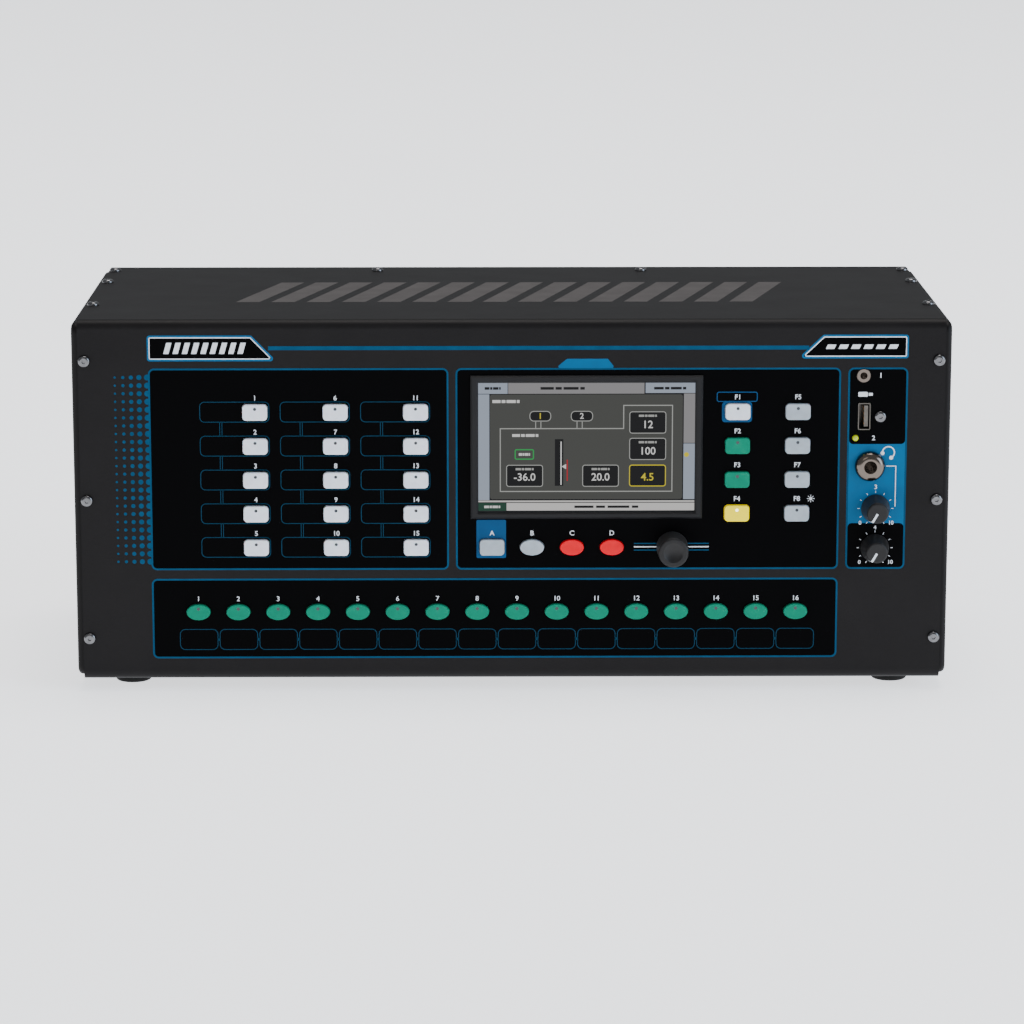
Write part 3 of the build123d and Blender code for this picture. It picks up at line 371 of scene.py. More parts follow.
def finishSolids(node, choose):
    # choose gives a material from a solid's lowest and highest corners
    mesh = nodes[node].data
    mesh.materials.clear()
    order = []
    for faces, low, high in solidsOf(node):
        mat = choose(low, high)
        if mat not in order:
            order.append(mat)
            mesh.materials.append(mat)
        for f in faces:
            mesh.polygons[f].material_index = order.index(mat)


lensShape = {"radius": 0.8, "rise": 1.8, "slack": 0.02}


def finishKey(node, cap, lens):
    # the light pipe is moulded into the cap, so its faces are found by their place
    mesh = nodes[node].data
    mesh.materials.clear()
    mesh.materials.append(cap)
    mesh.materials.append(lens)
    x, z = panelPlace(node)
    z += lensShape["rise"]
    reach = lensShape["radius"] + lensShape["slack"]
    near = [math.hypot(v.co.x / mm - x, (v.co.z - baseZ) / mm - z) < reach for v in mesh.vertices]
    for face in mesh.polygons:
        face.material_index = int(all(near[v] for v in face.vertices))


caseFinishes = {"front_top_cover": powderCoat, "rear_floor_chassis": powderCoatRear, "end_plate_left": powderCoat,
                "end_plate_right": powderCoat, "screen_bezel": bezelAbs, "touch_display": nylonBlack,
                "rubber_feet": footRubber, "case_screws": zincScrew, "mains_rocker": nylonBlack}
for node, mat in caseFinishes.items():
    mesh = nodes[node].data
    mesh.materials.clear()
    mesh.materials.append(mat)
for knob in ("data_wheel", "phones_knob", "alt_out_knob"):
    finishSolids(knob, lambda low, high: nickel if high[0] - low[0] < 7 else softTouch)

keyColours = {"remote_key": keyWhite, "processing_key": keyGreen, "routing_key": keyGreen,
              "channel_view_key": keyYellow, "paste_key": keyRed, "reset_key": keyRed}
for key in softKeys + channelKeys + functionKeys + editKeys:
    cap = keyColours.get(key, keyWhite if key in softKeys else keyGreen if key in channelKeys else keyGrey)
    finishKey(key, cap, lensLit if cap is keyYellow else lensDark)


def frontSocket(low, high):
    # which piece of the front strip a solid is
    width, depth, height = (b - a for a, b in zip(low, high))
    if height > 60:
        return "board"
    if width < 4 and height < 4:
        return "lamp"
    if width < 7 and height > 12:
        return "usb"
    return "phones" if depth > 28 else "line" if low[2] > 140 else "pot"


def rearSocketFinish(low, high):
    width, depth, height = (b - a for a, b in zip(low, high))
    if width > 200:
        return solderMask
    if width < 17 and depth > 15 and height < 18:
        return nickel
    if 20 < width < 24 and height > 26 and low[2] > 60:
        return dieCast
    return nylonBlack


def boardFinish(low, high):
    width, depth, height = (b - a for a, b in zip(low, high))
    if height < 2 or width > 200 and depth < 20:
        return solderMask
    return chipEpoxy if height < 10 else aluminium


frontFinishes = {"board": solderMask, "lamp": lampGreen, "usb": socketShell}
finishSolids("front_sockets", lambda low, high: frontFinishes.get(frontSocket(low, high), blackChrome))
finishSolids("rear_sockets", rearSocketFinish)
finishSolids("control_board", lambda low, high: solderMask if high[0] - low[0] > 60 else nylonBlack)
finishSolids("main_board", boardFinish)
finishSolids("power_supply", boardFinish)
print("CAD nodes finished:", len(nodes))


# ---- graphics printed on the front panel, mm from the middle and above the case's underside

sheetPrint = {
    "ink": 0.05,        # height of one printed layer
    "sunk": -0.02,      # a layer's underside, just inside the panel
    "line": 0.9,        # width of the blue borders
    "corner": 2.9,
    "hole": 0.35,       # black ink stops this far from a key
    "key": 1.9,         # corner radius of a plain key
    "rim": 1.1,         # a key's hidden rim is this much wider than its cap
    "shaft": 4.0,       # radius of the ink's hole round a shaft
}
ink, sunk, borderLine = sheetPrint["ink"], sheetPrint["sunk"], sheetPrint["line"]
cornerIn = sheetPrint["corner"] - borderLine
leftField = box2d(-180.8, -31.6, 56.4, 158.9)
rightField = box2d(-28.1, 163.7, 56.4, 158.9)
channelField = box2d(-180.8, 163.7, 10.9, 52.0)
stripField = box2d(167.3, 197.1, 56.4, 158.9)


def keyHole(key):
    # the outline that the ink leaves round a key
    x, z = panelPlace(key)
    low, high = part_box(key)
    rx, rz = ((high[i] - low[i]) / 2 / mm - sheetPrint["rim"] + sheetPrint["hole"] for i in (0, 2))
    if key in channelKeys or key in editKeys[1:]:
        return circle2d(x, z, rx, rz)
    return roundCorners(box2d(x - rx, x + rx, z - rz, z + rz), sheetPrint["key"] + sheetPrint["hole"])


def borderOf(name, field):
    printed(name + "Border", ring(field, sheetPrint["corner"], borderLine), blueInk, sunk, ink * 1.4)


displayX, displayZ = panelPlace("screen_bezel")
wheelX, wheelZ = panelPlace("data_wheel")
low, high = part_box("screen_bezel")
bezelHole = inset(box2d(low[0] / mm, high[0] / mm, (low[2] - baseZ) / mm, (high[2] - baseZ) / mm), 0.6)
displayHoles = [bezelHole, circle2d(wheelX, wheelZ, sheetPrint["shaft"])]
for name, field, keys, holes in (("leftField", leftField, softKeys, []),
                                 ("rightField", rightField, functionKeys + editKeys, displayHoles),
                                 ("channelField", channelField, channelKeys, [])):
    edge = roundCorners(inset(field, borderLine), cornerIn)
    printed(name + "Black", [edge] + [keyHole(k) for k in keys] + holes, blackInk, sunk, ink)
    borderOf(name, field)

# the strip of sockets: black above and below, bright blue between
strip = {"blueLow": 79.9, "blueHigh": 120.2, "lamp": 1.5, "line": 3.3, "phones": 6.0, "usb": (6.2, 13.6),
         "usbScrew": 1.7, "usbToScrew": 8.0}
phonesKnob, altKnob = panelPlace("phones_knob"), panelPlace("alt_out_knob")
places = {frontSocket(low, high): ((low[0] + high[0]) / 2, (low[2] + high[2]) / 2)
          for _, low, high in solidsOf("front_sockets")}
(phonesX, phonesZ), (lineX, lineZ) = places["phones"], places["line"]
(usbX, usbZ), (lampX, lampZ) = places["usb"], places["lamp"]
stripInner = inset(stripField, borderLine)
(stripLeft, stripLow), (stripRight, stripHigh) = stripInner[0], stripInner[2]
usbHalfX, usbHalfZ = (side / 2 + 0.4 for side in strip["usb"])
upperHoles = [circle2d(lineX, lineZ, strip["line"] + 0.3), circle2d(lampX, lampZ, strip["lamp"] + 0.2),
              circle2d(usbX + strip["usbToScrew"], usbZ, strip["usbScrew"]),
              roundCorners(box2d(usbX - usbHalfX, usbX + usbHalfX, usbZ - usbHalfZ, usbZ + usbHalfZ), 0.8)]
middleHoles = [circle2d(phonesX, phonesZ, strip["phones"]), circle2d(*phonesKnob, sheetPrint["shaft"])]
lowerHoles = [circle2d(*altKnob, sheetPrint["shaft"])]
for name, low, high, holes in (("Upper", strip["blueHigh"], stripHigh, upperHoles),
                               ("Lower", stripLow, strip["blueLow"], lowerHoles)):
    printed(f"strip{name}Black", [roundCorners(box2d(stripLeft, stripRight, low, high), cornerIn)] + holes,
            blackInk, sunk, ink * 1.6)
printed("stripBlue", [roundCorners(stripInner, cornerIn)] + upperHoles + middleHoles + lowerHoles,
        solidBlueInk, sunk, ink)
borderOf("strip", stripField)

# name plates without a name, and the line that joins them
plate = {"top": 175.4, "bottom": 162.5, "left": -181.1, "leftEnd": -116.8, "right": 197.1, "rightStart": 142.1,
         "rightLift": 1.0, "slant": 12.6, "blue": 0.9, "white": 0.45}
rightBottom = plate["bottom"] + plate["rightLift"]
leftPlate = [(plate["left"], plate["bottom"]), (plate["leftEnd"], plate["bottom"]),
             (plate["leftEnd"] - plate["slant"], plate["top"]), (plate["left"], plate["top"])]
rightPlate = [(plate["rightStart"], rightBottom), (plate["right"], rightBottom),
              (plate["right"], plate["top"]), (plate["rightStart"] + plate["slant"], plate["top"])]
for name, outline in (("leftPlate", leftPlate), ("rightPlate", rightPlate)):
    white = inset(outline, plate["blue"])
    black = inset(white, plate["white"])
    for layer, loops, mat in (("Blue", ring(outline, 1.3, plate["blue"]), solidBlueInk),
                              ("White", ring(white, 0.8, plate["white"]), whiteInk),
                              ("Black", [roundCorners(black, 0.5)], blackInk)):
        printed(name + layer, loops, mat, sunk, ink)
printed("joiningLine", [bar2d(-121.0, 147.6, 169.0, 2.0)], blueInk, sunk, ink)
tab = [(21.6, 158.8), (51.3, 158.8), (47.6, 163.5), (27.4, 163.5)]
printed("displayTab", [roundCorners(tab, 0.8)], solidBlueInk, sunk, ink * 1.2)


# ---- what repeats on the panels, grown by node trees in a flat frame and then set on the panel

def newTree(name, **inputs):
    # a geometry tree with named number inputs and their first values, whole numbers or metres
    tree = bpy.data.node_groups.new(name, "GeometryNodeTree")
    for way in ("INPUT", "OUTPUT"):
        tree.interface.new_socket("Geometry", in_out=way, socket_type="NodeSocketGeometry")
    for label, value in inputs.items():
        kind = "NodeSocketInt" if isinstance(value, int) else "NodeSocketFloat"
        tree.interface.new_socket(label, in_out="INPUT", socket_type=kind).default_value = value
    return tree, tree.nodes.new("NodeGroupInput").outputs, tree.nodes.new("NodeGroupOutput").inputs


def spreadOver(tree, ends, points, thing, **turns):
    # the thing at every point, made real and given the piece's material
    spread = addNode(tree, "GeometryNodeInstanceOnPoints", None, {"Points": points, "Instance": thing, **turns})
    real = addNode(tree, "GeometryNodeRealizeInstances", None, {0: spread})
    paint = addNode(tree, "GeometryNodeSetMaterial", None, {"Geometry": real})
    tree.links.new(paint.outputs[0], ends[0])
    return tree


def solidFromFace(tree, face, height):
    # a flat face given a height, closed underneath
    raised = addNode(tree, "GeometryNodeExtrudeMesh", {"Individual": False},
                     {"Mesh": face, "Offset Scale": height})
    base = addNode(tree, "GeometryNodeFlipFaces", None, {0: face})
    both = addNode(tree, "GeometryNodeJoinGeometry")
    for part in (raised, base):
        tree.links.new(part.outputs[0], both.inputs[0])
    return addNode(tree, "GeometryNodeMergeByDistance", {"Distance": 1e-6}, {0: both})


def solidFromBox(tree, width, length, height, mode="RECTANGLE", **more):
    outline = addNode(tree, "GeometryNodeCurvePrimitiveQuadrilateral", {"mode": mode},
                      {"Width": width, "Height": length, **more})
    return solidFromFace(tree, addNode(tree, "GeometryNodeFillCurve", {"mode": "NGONS"}, {0: outline}), height)


def gridPoints(tree, inputs):
    return addNode(tree, "GeometryNodeMeshGrid", None,
                   {"Size X": inputs["Width"], "Size Y": inputs["Depth"],
                    "Vertices X": inputs["Columns"], "Vertices Y": inputs["Rows"]})


def gridSize(columns, rows, pitchX, pitchY):
    return {"Columns": columns, "Rows": rows, "Width": max(columns - 1, 0) * pitchX,
            "Depth": max(rows - 1, 0) * pitchY}


gridInputs = {"Columns": 2, "Rows": 2, "Width": 0.1, "Depth": 0.1}


def dotTree():
    # round dots on a grid that grow from one side to the other
    tree, inputs, ends = newTree("halftoneDots", **gridInputs, Small=0.0005, Large=0.001, Height=0.00004)
    disc = addNode(tree, "GeometryNodeMeshCircle", {"fill_type": "NGON", "Vertices": 14, "Radius": 1.0})
    dot = solidFromFace(tree, disc, inputs["Height"])
    across = addNode(tree, "ShaderNodeSeparateXYZ", None, {0: addNode(tree, "GeometryNodeInputPosition")})
    first, last = (addNode(tree, "ShaderNodeMath", {"operation": "MULTIPLY", 1: side}, {0: inputs["Width"]})
                   for side in (-0.5, 0.5))
    size = addNode(tree, "ShaderNodeMapRange", None, {"Value": across, "From Min": first, "From Max": last,
                                                      "To Min": inputs["Small"], "To Max": inputs["Large"]})
    scale = addNode(tree, "ShaderNodeCombineXYZ", {"Z": 1.0}, {"X": size, "Y": size})
    return spreadOver(tree, ends, gridPoints(tree, inputs), dot, Scale=scale)


def outlineTree():
    # rounded boxes drawn as a line, on a grid
    tree, inputs, ends = newTree("outlinedBoxes", **gridInputs, **{"Box Width": 0.01, "Box Height": 0.01},
                                 Corner=0.002, Line=0.0005, Height=0.00005)
    box, section = (addNode(tree, "GeometryNodeCurvePrimitiveQuadrilateral", None,
                            {"Width": inputs[wide], "Height": inputs[high]})
                    for wide, high in (("Box Width", "Box Height"), ("Line", "Height")))
    rounded = addNode(tree, "GeometryNodeFilletCurve", {"mode": "POLY", "Count": 5},
                      {"Curve": box, "Radius": inputs["Corner"]})
    line = addNode(tree, "GeometryNodeCurveToMesh", None, {"Curve": rounded, "Profile Curve": section})
    return spreadOver(tree, ends, gridPoints(tree, inputs), line)


def barTree():
    # flat bars on a grid, upright or slanted
    tree, inputs, ends = newTree("slantedBars", **gridInputs, **{"Bar Width": 0.002, "Bar Height": 0.01},
                                 Slant=0.0, Height=0.00005)
    bar = solidFromBox(tree, inputs["Bar Width"], inputs["Bar Height"], inputs["Height"], "PARALLELOGRAM",
                       Offset=inputs["Slant"])
    return spreadOver(tree, ends, gridPoints(tree, inputs), bar)


def dialTree():
    # marks round a centre, from a first angle on
    tree, inputs, ends = newTree("dialMarks", Count=11, First=0.0, Step=0.5, Inner=0.008, Outer=0.009,
                                 Line=0.0003, Height=0.00005)
    points = addNode(tree, "GeometryNodeMeshLine", {"Offset": (0, 0, 0)}, {"Count": inputs["Count"]})
    length, total = (addNode(tree, "ShaderNodeMath", {"operation": way}, {0: inputs["Outer"], 1: inputs["Inner"]})
                     for way in ("SUBTRACT", "ADD"))
    away = addNode(tree, "ShaderNodeMath", {"operation": "MULTIPLY", 1: 0.5}, {0: total})
    mark = solidFromBox(tree, inputs["Line"], length, inputs["Height"])
    shift = addNode(tree, "ShaderNodeCombineXYZ", None, {"Y": away})
    moved = addNode(tree, "GeometryNodeTransform", None, {"Geometry": mark, "Translation": shift})
    turn = addNode(tree, "ShaderNodeMath", {"operation": "MULTIPLY_ADD"},
                   {0: addNode(tree, "GeometryNodeInputIndex"), 1: inputs["Step"], 2: inputs["First"]})
    angle = addNode(tree, "ShaderNodeCombineXYZ", None, {"Z": turn})
    return spreadOver(tree, ends, points, moved, Rotation=angle)


def contactTree():
    # three short tubes or pins on a circle, at every point of a grid
    tree, inputs, ends = newTree("threeContacts", **gridInputs, Circle=0.0047, Radius=0.0017, Length=0.001)
    rod = addNode(tree, "GeometryNodeMeshCylinder", {"Vertices": 16, "fill_type": "NGON"},
                  {"Radius": inputs["Radius"], "Depth": inputs["Length"]})
    spots = addNode(tree, "GeometryNodeMeshCircle", {"Vertices": 3}, {"Radius": inputs["Circle"]})
    turned = addNode(tree, "GeometryNodeTransform", {"Rotation": (0, 0, math.radians(-90))}, {"Geometry": spots})
    trio = addNode(tree, "GeometryNodeInstanceOnPoints", None, {"Points": turned, "Instance": rod})
    return spreadOver(tree, ends, gridPoints(tree, inputs), trio)


trees = {"dots": dotTree(), "outlines": outlineTree(), "bars": barTree(), "dial": dialTree(),
         "contacts": contactTree()}


def grown(name, tree, settings, mat, place, plane=frontPlane):
    # what a tree makes, as a plain mesh, with its middle at place = (x, z, height) on a panel; all in mm
    settings = {"Height": ink * 2, **settings}
    holder = linked(name + "Seed", bpy.data.meshes.new(name + "Seed"))
    modifier = holder.modifiers.new("grow", "NODES")
    modifier.node_group = trees[tree]
    for socket in trees[tree].interface.items_tree:
        if socket.name in settings:
            unit = 1 if socket.name in ("Columns", "Rows", "Count", "First", "Step") else mm
            modifier[socket.identifier] = settings[socket.name] * unit
    mesh = meshFrom(holder)
    mesh.transform(onPlane(plane, *place))
    return newPiece(name, mesh, mat)


# halftone dots beside the left field
dots = {"columns": 5, "rows": 24, "pitchX": 4.0, "pitchZ": 4.07, "small": 0.6, "large": 1.5, "firstX": -197.3,
        "topZ": 154.4}
grown("halftone", "dots",
      {**gridSize(dots["columns"], dots["rows"], dots["pitchX"], dots["pitchZ"]), "Small": dots["small"],
       "Large": dots["large"], "Height": ink * 0.6}, blueInk,
      (dots["firstX"] + (dots["columns"] - 1) * dots["pitchX"] / 2,
       dots["topZ"] - (dots["rows"] - 1) * dots["pitchZ"] / 2, 0))

# write-on boxes beside the soft keys, with the double lines that join them
softLabel = {"left": 27.4, "right": 7.0, "below": 4.95, "above": 5.15, "corner": 2.3, "line": 0.4,
             "joint": 17.0, "gap": 1.1, "jointLine": 0.35}
firstX, topSoftZ = panelPlace("soft_key_01")
lastX, lowSoftZ = panelPlace("soft_key_15")
softPitchX, softPitchZ = (lastX - firstX) / 2, (topSoftZ - lowSoftZ) / 4
middleX, middleZ = (firstX + lastX) / 2, (topSoftZ + lowSoftZ) / 2
shiftX = (softLabel["right"] - softLabel["left"]) / 2
shiftZ = (softLabel["above"] - softLabel["below"]) / 2
boxHeight = softLabel["below"] + softLabel["above"]
grown("softLabelBoxes", "outlines",
      {**gridSize(3, 5, softPitchX, softPitchZ), "Corner": softLabel["corner"], "Line": softLabel["line"],
       "Box Width": softLabel["left"] + softLabel["right"], "Box Height": boxHeight}, fineBlueInk,
      (middleX + shiftX, middleZ + shiftZ, ink))
for name, side in (("Left", -0.5), ("Right", 0.5)):
    grown("softLabelJoints" + name, "bars",
          {**gridSize(3, 4, softPitchX, softPitchZ), "Bar Width": softLabel["jointLine"],
           "Bar Height": softPitchZ - boxHeight}, fineBlueInk,
          (middleX - softLabel["joint"] + side * softLabel["gap"], middleZ + shiftZ, 0))

# write-on boxes under the channel keys, joined by short bars
channelLabel = {"width": 18.9, "height": 10.4, "drop": 14.3, "corner": 2.5, "line": 0.4, "jointHeight": 1.4}
firstX, channelZ = panelPlace("channel_key_01")
lastX, _ = panelPlace("channel_key_16")
channelPitch, middleX = (lastX - firstX) / 15, (firstX + lastX) / 2
labelZ = channelZ - channelLabel["drop"]
grown("channelLabelBoxes", "outlines",
      {**gridSize(16, 1, channelPitch, 0), "Box Width": channelLabel["width"],
       "Box Height": channelLabel["height"], "Corner": channelLabel["corner"], "Line": channelLabel["line"]},
      fineBlueInk, (middleX, labelZ, ink))
grown("channelLabelJoints", "bars",
      {**gridSize(15, 1, channelPitch, 0), "Bar Width": channelPitch - channelLabel["width"],
       "Bar Height": channelLabel["jointHeight"]}, fineBlueInk, (middleX, labelZ, 0))

# figures over the keys
figures = {"size": 2.5, "overKey": 7.0, "overChannel": 6.5, "overFunction": 7.2, "weight": 0.045}
items = []
for keys, texts, over in ((softKeys, range(1, 16), "overKey"), (channelKeys, range(1, 17), "overChannel"),
                          (functionKeys, [f"F{n}" for n in range(1, 9)], "overFunction"),
                          (editKeys, "ABCD", "overKey")):
    for key, text in zip(keys, texts):
        x, z = panelPlace(key)
        items.append((str(text), x, z + figures[over], figures["size"]))
lettering("keyFigures", items, whiteInk, -0.01, ink * 2.2, weight=figures["weight"])

# blue grounds behind the first function key and the first edit key, and the box over the former
grounds = {
    # left, right, below and above the key's middle, and the corner radius
    "remote": (7.9, 7.1, 5.4, 4.9, 1.6),
    "fn": (7.8, 7.0, 5.6, 13.9, 0.7),
}
for name, (left, right, below, above, corner) in grounds.items():
    x, z = panelPlace(name + "_key")
    outline = roundCorners(box2d(x - left, x + right, z - below, z + above), corner)
    printed(name + "Ground", [outline, keyHole(name + "_key")], deepBlueInk, 0, ink * 1.7)
    if name == "remote":
        printed("remoteBox", ring(box2d(x - 10.6, x + 9.8, z + above, z + 10.0), 1.2, 0.45), deepBlueInk, 0,
                ink * 2)

# three fine lines behind the data wheel
wheelLine = {"start": 4.2, "left": 19.2, "right": 18.4, "width": 0.55, "pitch": 1.7}
for name, step, mat in (("34", 1, blueInk), ("17", 0, whiteInk), ("00", -1, blueInk)):
    z = wheelZ + step * wheelLine["pitch"]
    printed("wheelLine" + name,
            [bar2d(wheelX - wheelLine["left"], wheelX - wheelLine["start"], z, wheelLine["width"]),
             bar2d(wheelX + wheelLine["start"], wheelX + wheelLine["right"], z, wheelLine["width"])],
            mat, 0, ink * 1.7)

# scales round the level knobs: eleven marks over 300 degrees, and the end figures
scaleMarks = {"count": 11, "sweep": math.radians(300.0), "inner": 7.9, "outer": 9.0, "line": 0.3, "figure": 2.0,
              "left": 7.6, "right": 7.9, "drop": 7.4}
scaleItems = []
for name, (x, z) in (("phones", phonesKnob), ("alt", altKnob)):
    grown(name + "Scale", "dial",
          {"Count": scaleMarks["count"], "First": scaleMarks["sweep"] / 2,
           "Step": -scaleMarks["sweep"] / (scaleMarks["count"] - 1), "Inner": scaleMarks["inner"],
           "Outer": scaleMarks["outer"], "Line": scaleMarks["line"]}, whiteInk, (x, z, 0))
    for text, at in (("0", x - scaleMarks["left"]), ("10", x + scaleMarks["right"])):
        scaleItems.append((text, at, z - scaleMarks["drop"], scaleMarks["figure"]))
scaleItems += [("1", lineX + 8.5, lineZ, 2.6), ("2", lampX + 9.0, lampZ, 2.4),
               ("3", phonesKnob[0], phonesKnob[1] + 10.9, 2.3), ("4", altKnob[0], altKnob[1] + 10.3, 2.0)]
lettering("scaleFigures", scaleItems, whiteInk, 0, ink * 2.2, weight=0.05)

# headphone sign beside its socket, and the line from the socket to its knob
headphones = {"x": 9.2, "z": 6.9, "outer": 3.3, "inner": 2.7, "pad": 1.0, "padOut": 3.0, "padsAt": (-62, 187),
              "lineStart": 8.2, "lineEnd": 13.2, "line": 0.4, "overKnob": 1.0}
signX, signZ = phonesX + headphones["x"], phonesZ + headphones["z"]


def aroundSign(radius, degrees):
    turn = math.radians(degrees)
    return signX + radius * math.cos(turn), signZ + radius * math.sin(turn)


band = ([aroundSign(headphones["outer"], a) for a in range(-60, 195, 15)]
        + [aroundSign(headphones["inner"], a) for a in range(180, -75, -15)])
printed("headphoneBand", [band], whiteInk, 0, ink * 2)
printed("headphonePads", [circle2d(*aroundSign(headphones["padOut"], a), headphones["pad"], steps=20)
                          for a in headphones["padsAt"]], whiteInk, 0, ink * 2.1)
lineEnd = phonesX + headphones["lineEnd"]
lineLow = phonesZ - headphones["line"] / 2
printed("headphoneLine",
        [box2d(phonesX + headphones["lineStart"], lineEnd, lineLow, lineLow + headphones["line"]),
         box2d(lineEnd - headphones["line"], lineEnd, phonesKnob[1] + headphones["overKnob"], lineLow)],
        whiteInk, 0, ink * 2)

# a plain sign for a memory stick: a body with a plug
printed("stickSign", [roundCorners(box2d(usbX - 3.2, usbX + 1.6, usbZ + 10.1, usbZ + 12.5), 0.5),
                      box2d(usbX + 2.0, usbX + 4.0, usbZ + 10.6, usbZ + 12.0)], whiteInk, 0, ink * 2)
# a brightness sign beside the last function key
brightness = {"x": 7.0, "z": 7.3, "disc": 0.75, "rays": 8, "inner": 1.05, "outer": 1.9, "line": 0.25}
x, z = panelPlace("setup_key")
x, z = x + brightness["x"], z + brightness["z"]
printed("brightnessDisc", [circle2d(x, z, brightness["disc"], steps=20)], whiteInk, 0, ink * 2)
grown("brightnessRays", "dial",
      {"Count": brightness["rays"], "First": 0.0, "Step": 2 * math.pi / brightness["rays"],
       "Inner": brightness["inner"], "Outer": brightness["outer"], "Line": brightness["line"]},
      whiteInk, (x, z, 0))

# plain bars on the two plates, where a maker would put a name, and wide slanted ones across the top
topPlane = Matrix(((1, 0, 0, 0), (0, 1, 0, frontY), (0, 0, 1, topZ), (0, 0, 0, 1)))
plainBars = {
    # name: (count, pitch, width, length, slant, height of the ink, material, place, panel)
    "leftPlateBars": (9, 4.6, 2.6, 5.6, 1.6, ink * 2, whiteInk, (-152.5, 169.0, 0), frontPlane),
    "rightPlateBars": (6, 6.2, 4.2, 2.2, 1.0, ink * 2, whiteInk, (174.0, 169.4, 0), frontPlane),
    "topBars": (15, 18.0, 12.0, 70.0, 20.0, ink, greyInk, (1.5, 96.0, 0), topPlane),
}
for name, (count, pitch, width, length, slant, height, mat, place, plane) in plainBars.items():
    grown(name, "bars", {**gridSize(count, 1, pitch, 0), "Bar Width": width, "Bar Height": length,
                         "Slant": slant, "Height": height}, mat, place, plane)
print("printed graphics done")


# ---- pointers on the level knobs, each riding on its knob

knobShape = {"base": 7.2, "nose": 5.4, "length": 12.5, "gap": 0.7, "edge": 1.1, "line": 1.1, "stand": 0.05,
             "thick": 0.12, "start": 0.3, "skirtIn": 0.25, "skirtEnd": 1.6, "pointAt": 240.0}


def knobPointer(name, place, body):
    # a painted line from the middle of the face to its rim, over the edge and down the skirt
    stand = knobShape["stand"]
    face = knobShape["gap"] + knobShape["length"] + stand
    rim = knobShape["nose"] - knobShape["edge"]
    bend = knobShape["edge"] + stand
    path = [(knobShape["start"], face), (rim, face)]
    for step in range(1, 5):
        turn = math.radians(22.5 * step)
        path.append((rim + bend * math.sin(turn), face - bend + bend * math.cos(turn)))
    path.append((knobShape["base"] + stand - knobShape["skirtIn"], knobShape["gap"] + knobShape["skirtEnd"]))
    half, thick = knobShape["line"] / 2, knobShape["thick"]
    turn = Matrix.Rotation(math.radians(knobShape["pointAt"]), 4, "Z")
    built = bmesh.new()
    rows = [[built.verts.new(turn @ Vector((r, side * half, out - drop)))
             for side, drop in ((-1, 0), (1, 0), (1, thick), (-1, thick))] for r, out in path]
    for a, b in zip(rows, rows[1:]):
        for i in range(4):
            built.faces.new((a[i], a[(i + 1) % 4], b[(i + 1) % 4], b[i]))
    built.faces.new(rows[0])
    built.faces.new(rows[-1])
    bmesh.ops.recalc_face_normals(built, faces=built.faces)
    mesh = meshOf(name, built)
    mesh.transform(Matrix.Scale(mm, 4))
    mesh.transform(onPlane(frontPlane, *place, 0))
    newPiece(name, mesh, whiteInk, body)


knobPointer("phonesPointer", phonesKnob, "phones_knob")
knobPointer("altPointer", altKnob, "alt_out_knob")


# ---- the picture on the display: a plain page of boxes and figures in light of its own

picture = {"light": 0.75, "rows": 650.0, "rowShade": 0.93,
           "layer": 0.03}       # each layer of the picture stands this far in front of the last, in mm


def lcdColour(name, colour):
    # liquid crystal behind hard glass: even light with fine rows, and a gloss in front;
    # real rows are 0.08 mm apart, drawn at 0.5 mm
    mat = painted("lcd" + name, "#050506", 0.1, 0.1, Emission_Strength=picture["light"])
    tree = mat.node_tree
    place = addNode(tree, "ShaderNodeTexCoord")
    rows = addNode(tree, "ShaderNodeTexWave", {"wave_type": "BANDS", "bands_direction": "Z", "Distortion": 0.0,
                                               "Scale": picture["rows"], "Detail": 0.0},
                   {"Vector": place.outputs["Object"]})
    ramp = addNode(tree, "ShaderNodeValToRGB", None, {"Fac": rows.outputs["Fac"]})
    bright = hexColour(colour)
    ramp.color_ramp.elements[0].color = [c * picture["rowShade"] for c in bright[:3]] + [1.0]
    ramp.color_ramp.elements[1].color = bright
    tree.links.new(ramp.outputs["Color"], tree.nodes["Principled BSDF"].inputs["Emission Color"])
    return mat


lcdColours = {"PageGrey": "#4f504c", "BarGrey": "#9c9a9c", "PaleBlue": "#aeb9ca", "LightGrey": "#e2e0de",
              "LineGrey": "#b9bab6", "Black": "#0c0c0d", "Green": "#27b457", "DarkGreen": "#1c4a37",
              "Yellow": "#f2e02a", "White": "#f4f4f2", "Red": "#c8202c"}
lcd = {name: lcdColour(name, colour) for name, colour in lcdColours.items()}
glassLow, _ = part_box("touch_display")
glassPlane = Matrix(((1, 0, 0, displayX * mm), (0, 0, -1, glassLow[1]), (0, 1, 0, baseZ + displayZ * mm),
                     (0, 0, 0, 1)))


def wordBars(x, z, width, height):
    # a line of text too small to read, as a few bars
    out = []
    at = x - width / 2
    for share in (0.3, 0.14, 0.34, 0.1):
        out.append(box2d(at, at + width * share, z - height / 2, z + height / 2))
        at += width * (share + 0.04)
    return out


frameLoop = [(-43.3, 9.6), (18.2, 9.6), (18.2, 21.3), (43.0, 21.3), (43.0, -22.8), (-43.3, -22.8)]
frameInner = [(-42.8, 9.1), (18.7, 9.1), (18.7, 20.8), (42.5, 20.8), (42.5, -22.3), (-42.8, -22.3)]
pills = [box2d(-28.5, -17.7, 13.0, 18.3), box2d(-7.9, 3.2, 13.0, 18.3)]
valueBoxes = [box2d(-40.1, -21.7, -20.2, -9.0), box2d(-2.1, 16.2, -20.2, -9.0), box2d(21.3, 39.7, 6.8, 18.0),
              box2d(21.3, 39.7, -6.6, 4.6), box2d(21.3, 39.7, -20.1, -9.0)]
pillEdges = ([loop for p in pills for loop in ring(p, 2.2, 0.4)]
             + [box2d(x - 0.2, x + 0.2, 9.6, 12.9) for x in (-25.4, -22.8, -4.8, -2.2)])
valueNames = [bar for p in valueBoxes[:4] for bar in wordBars((p[0][0] + p[1][0]) / 2, p[2][1] - 2.2, 9.0, 1.1)]
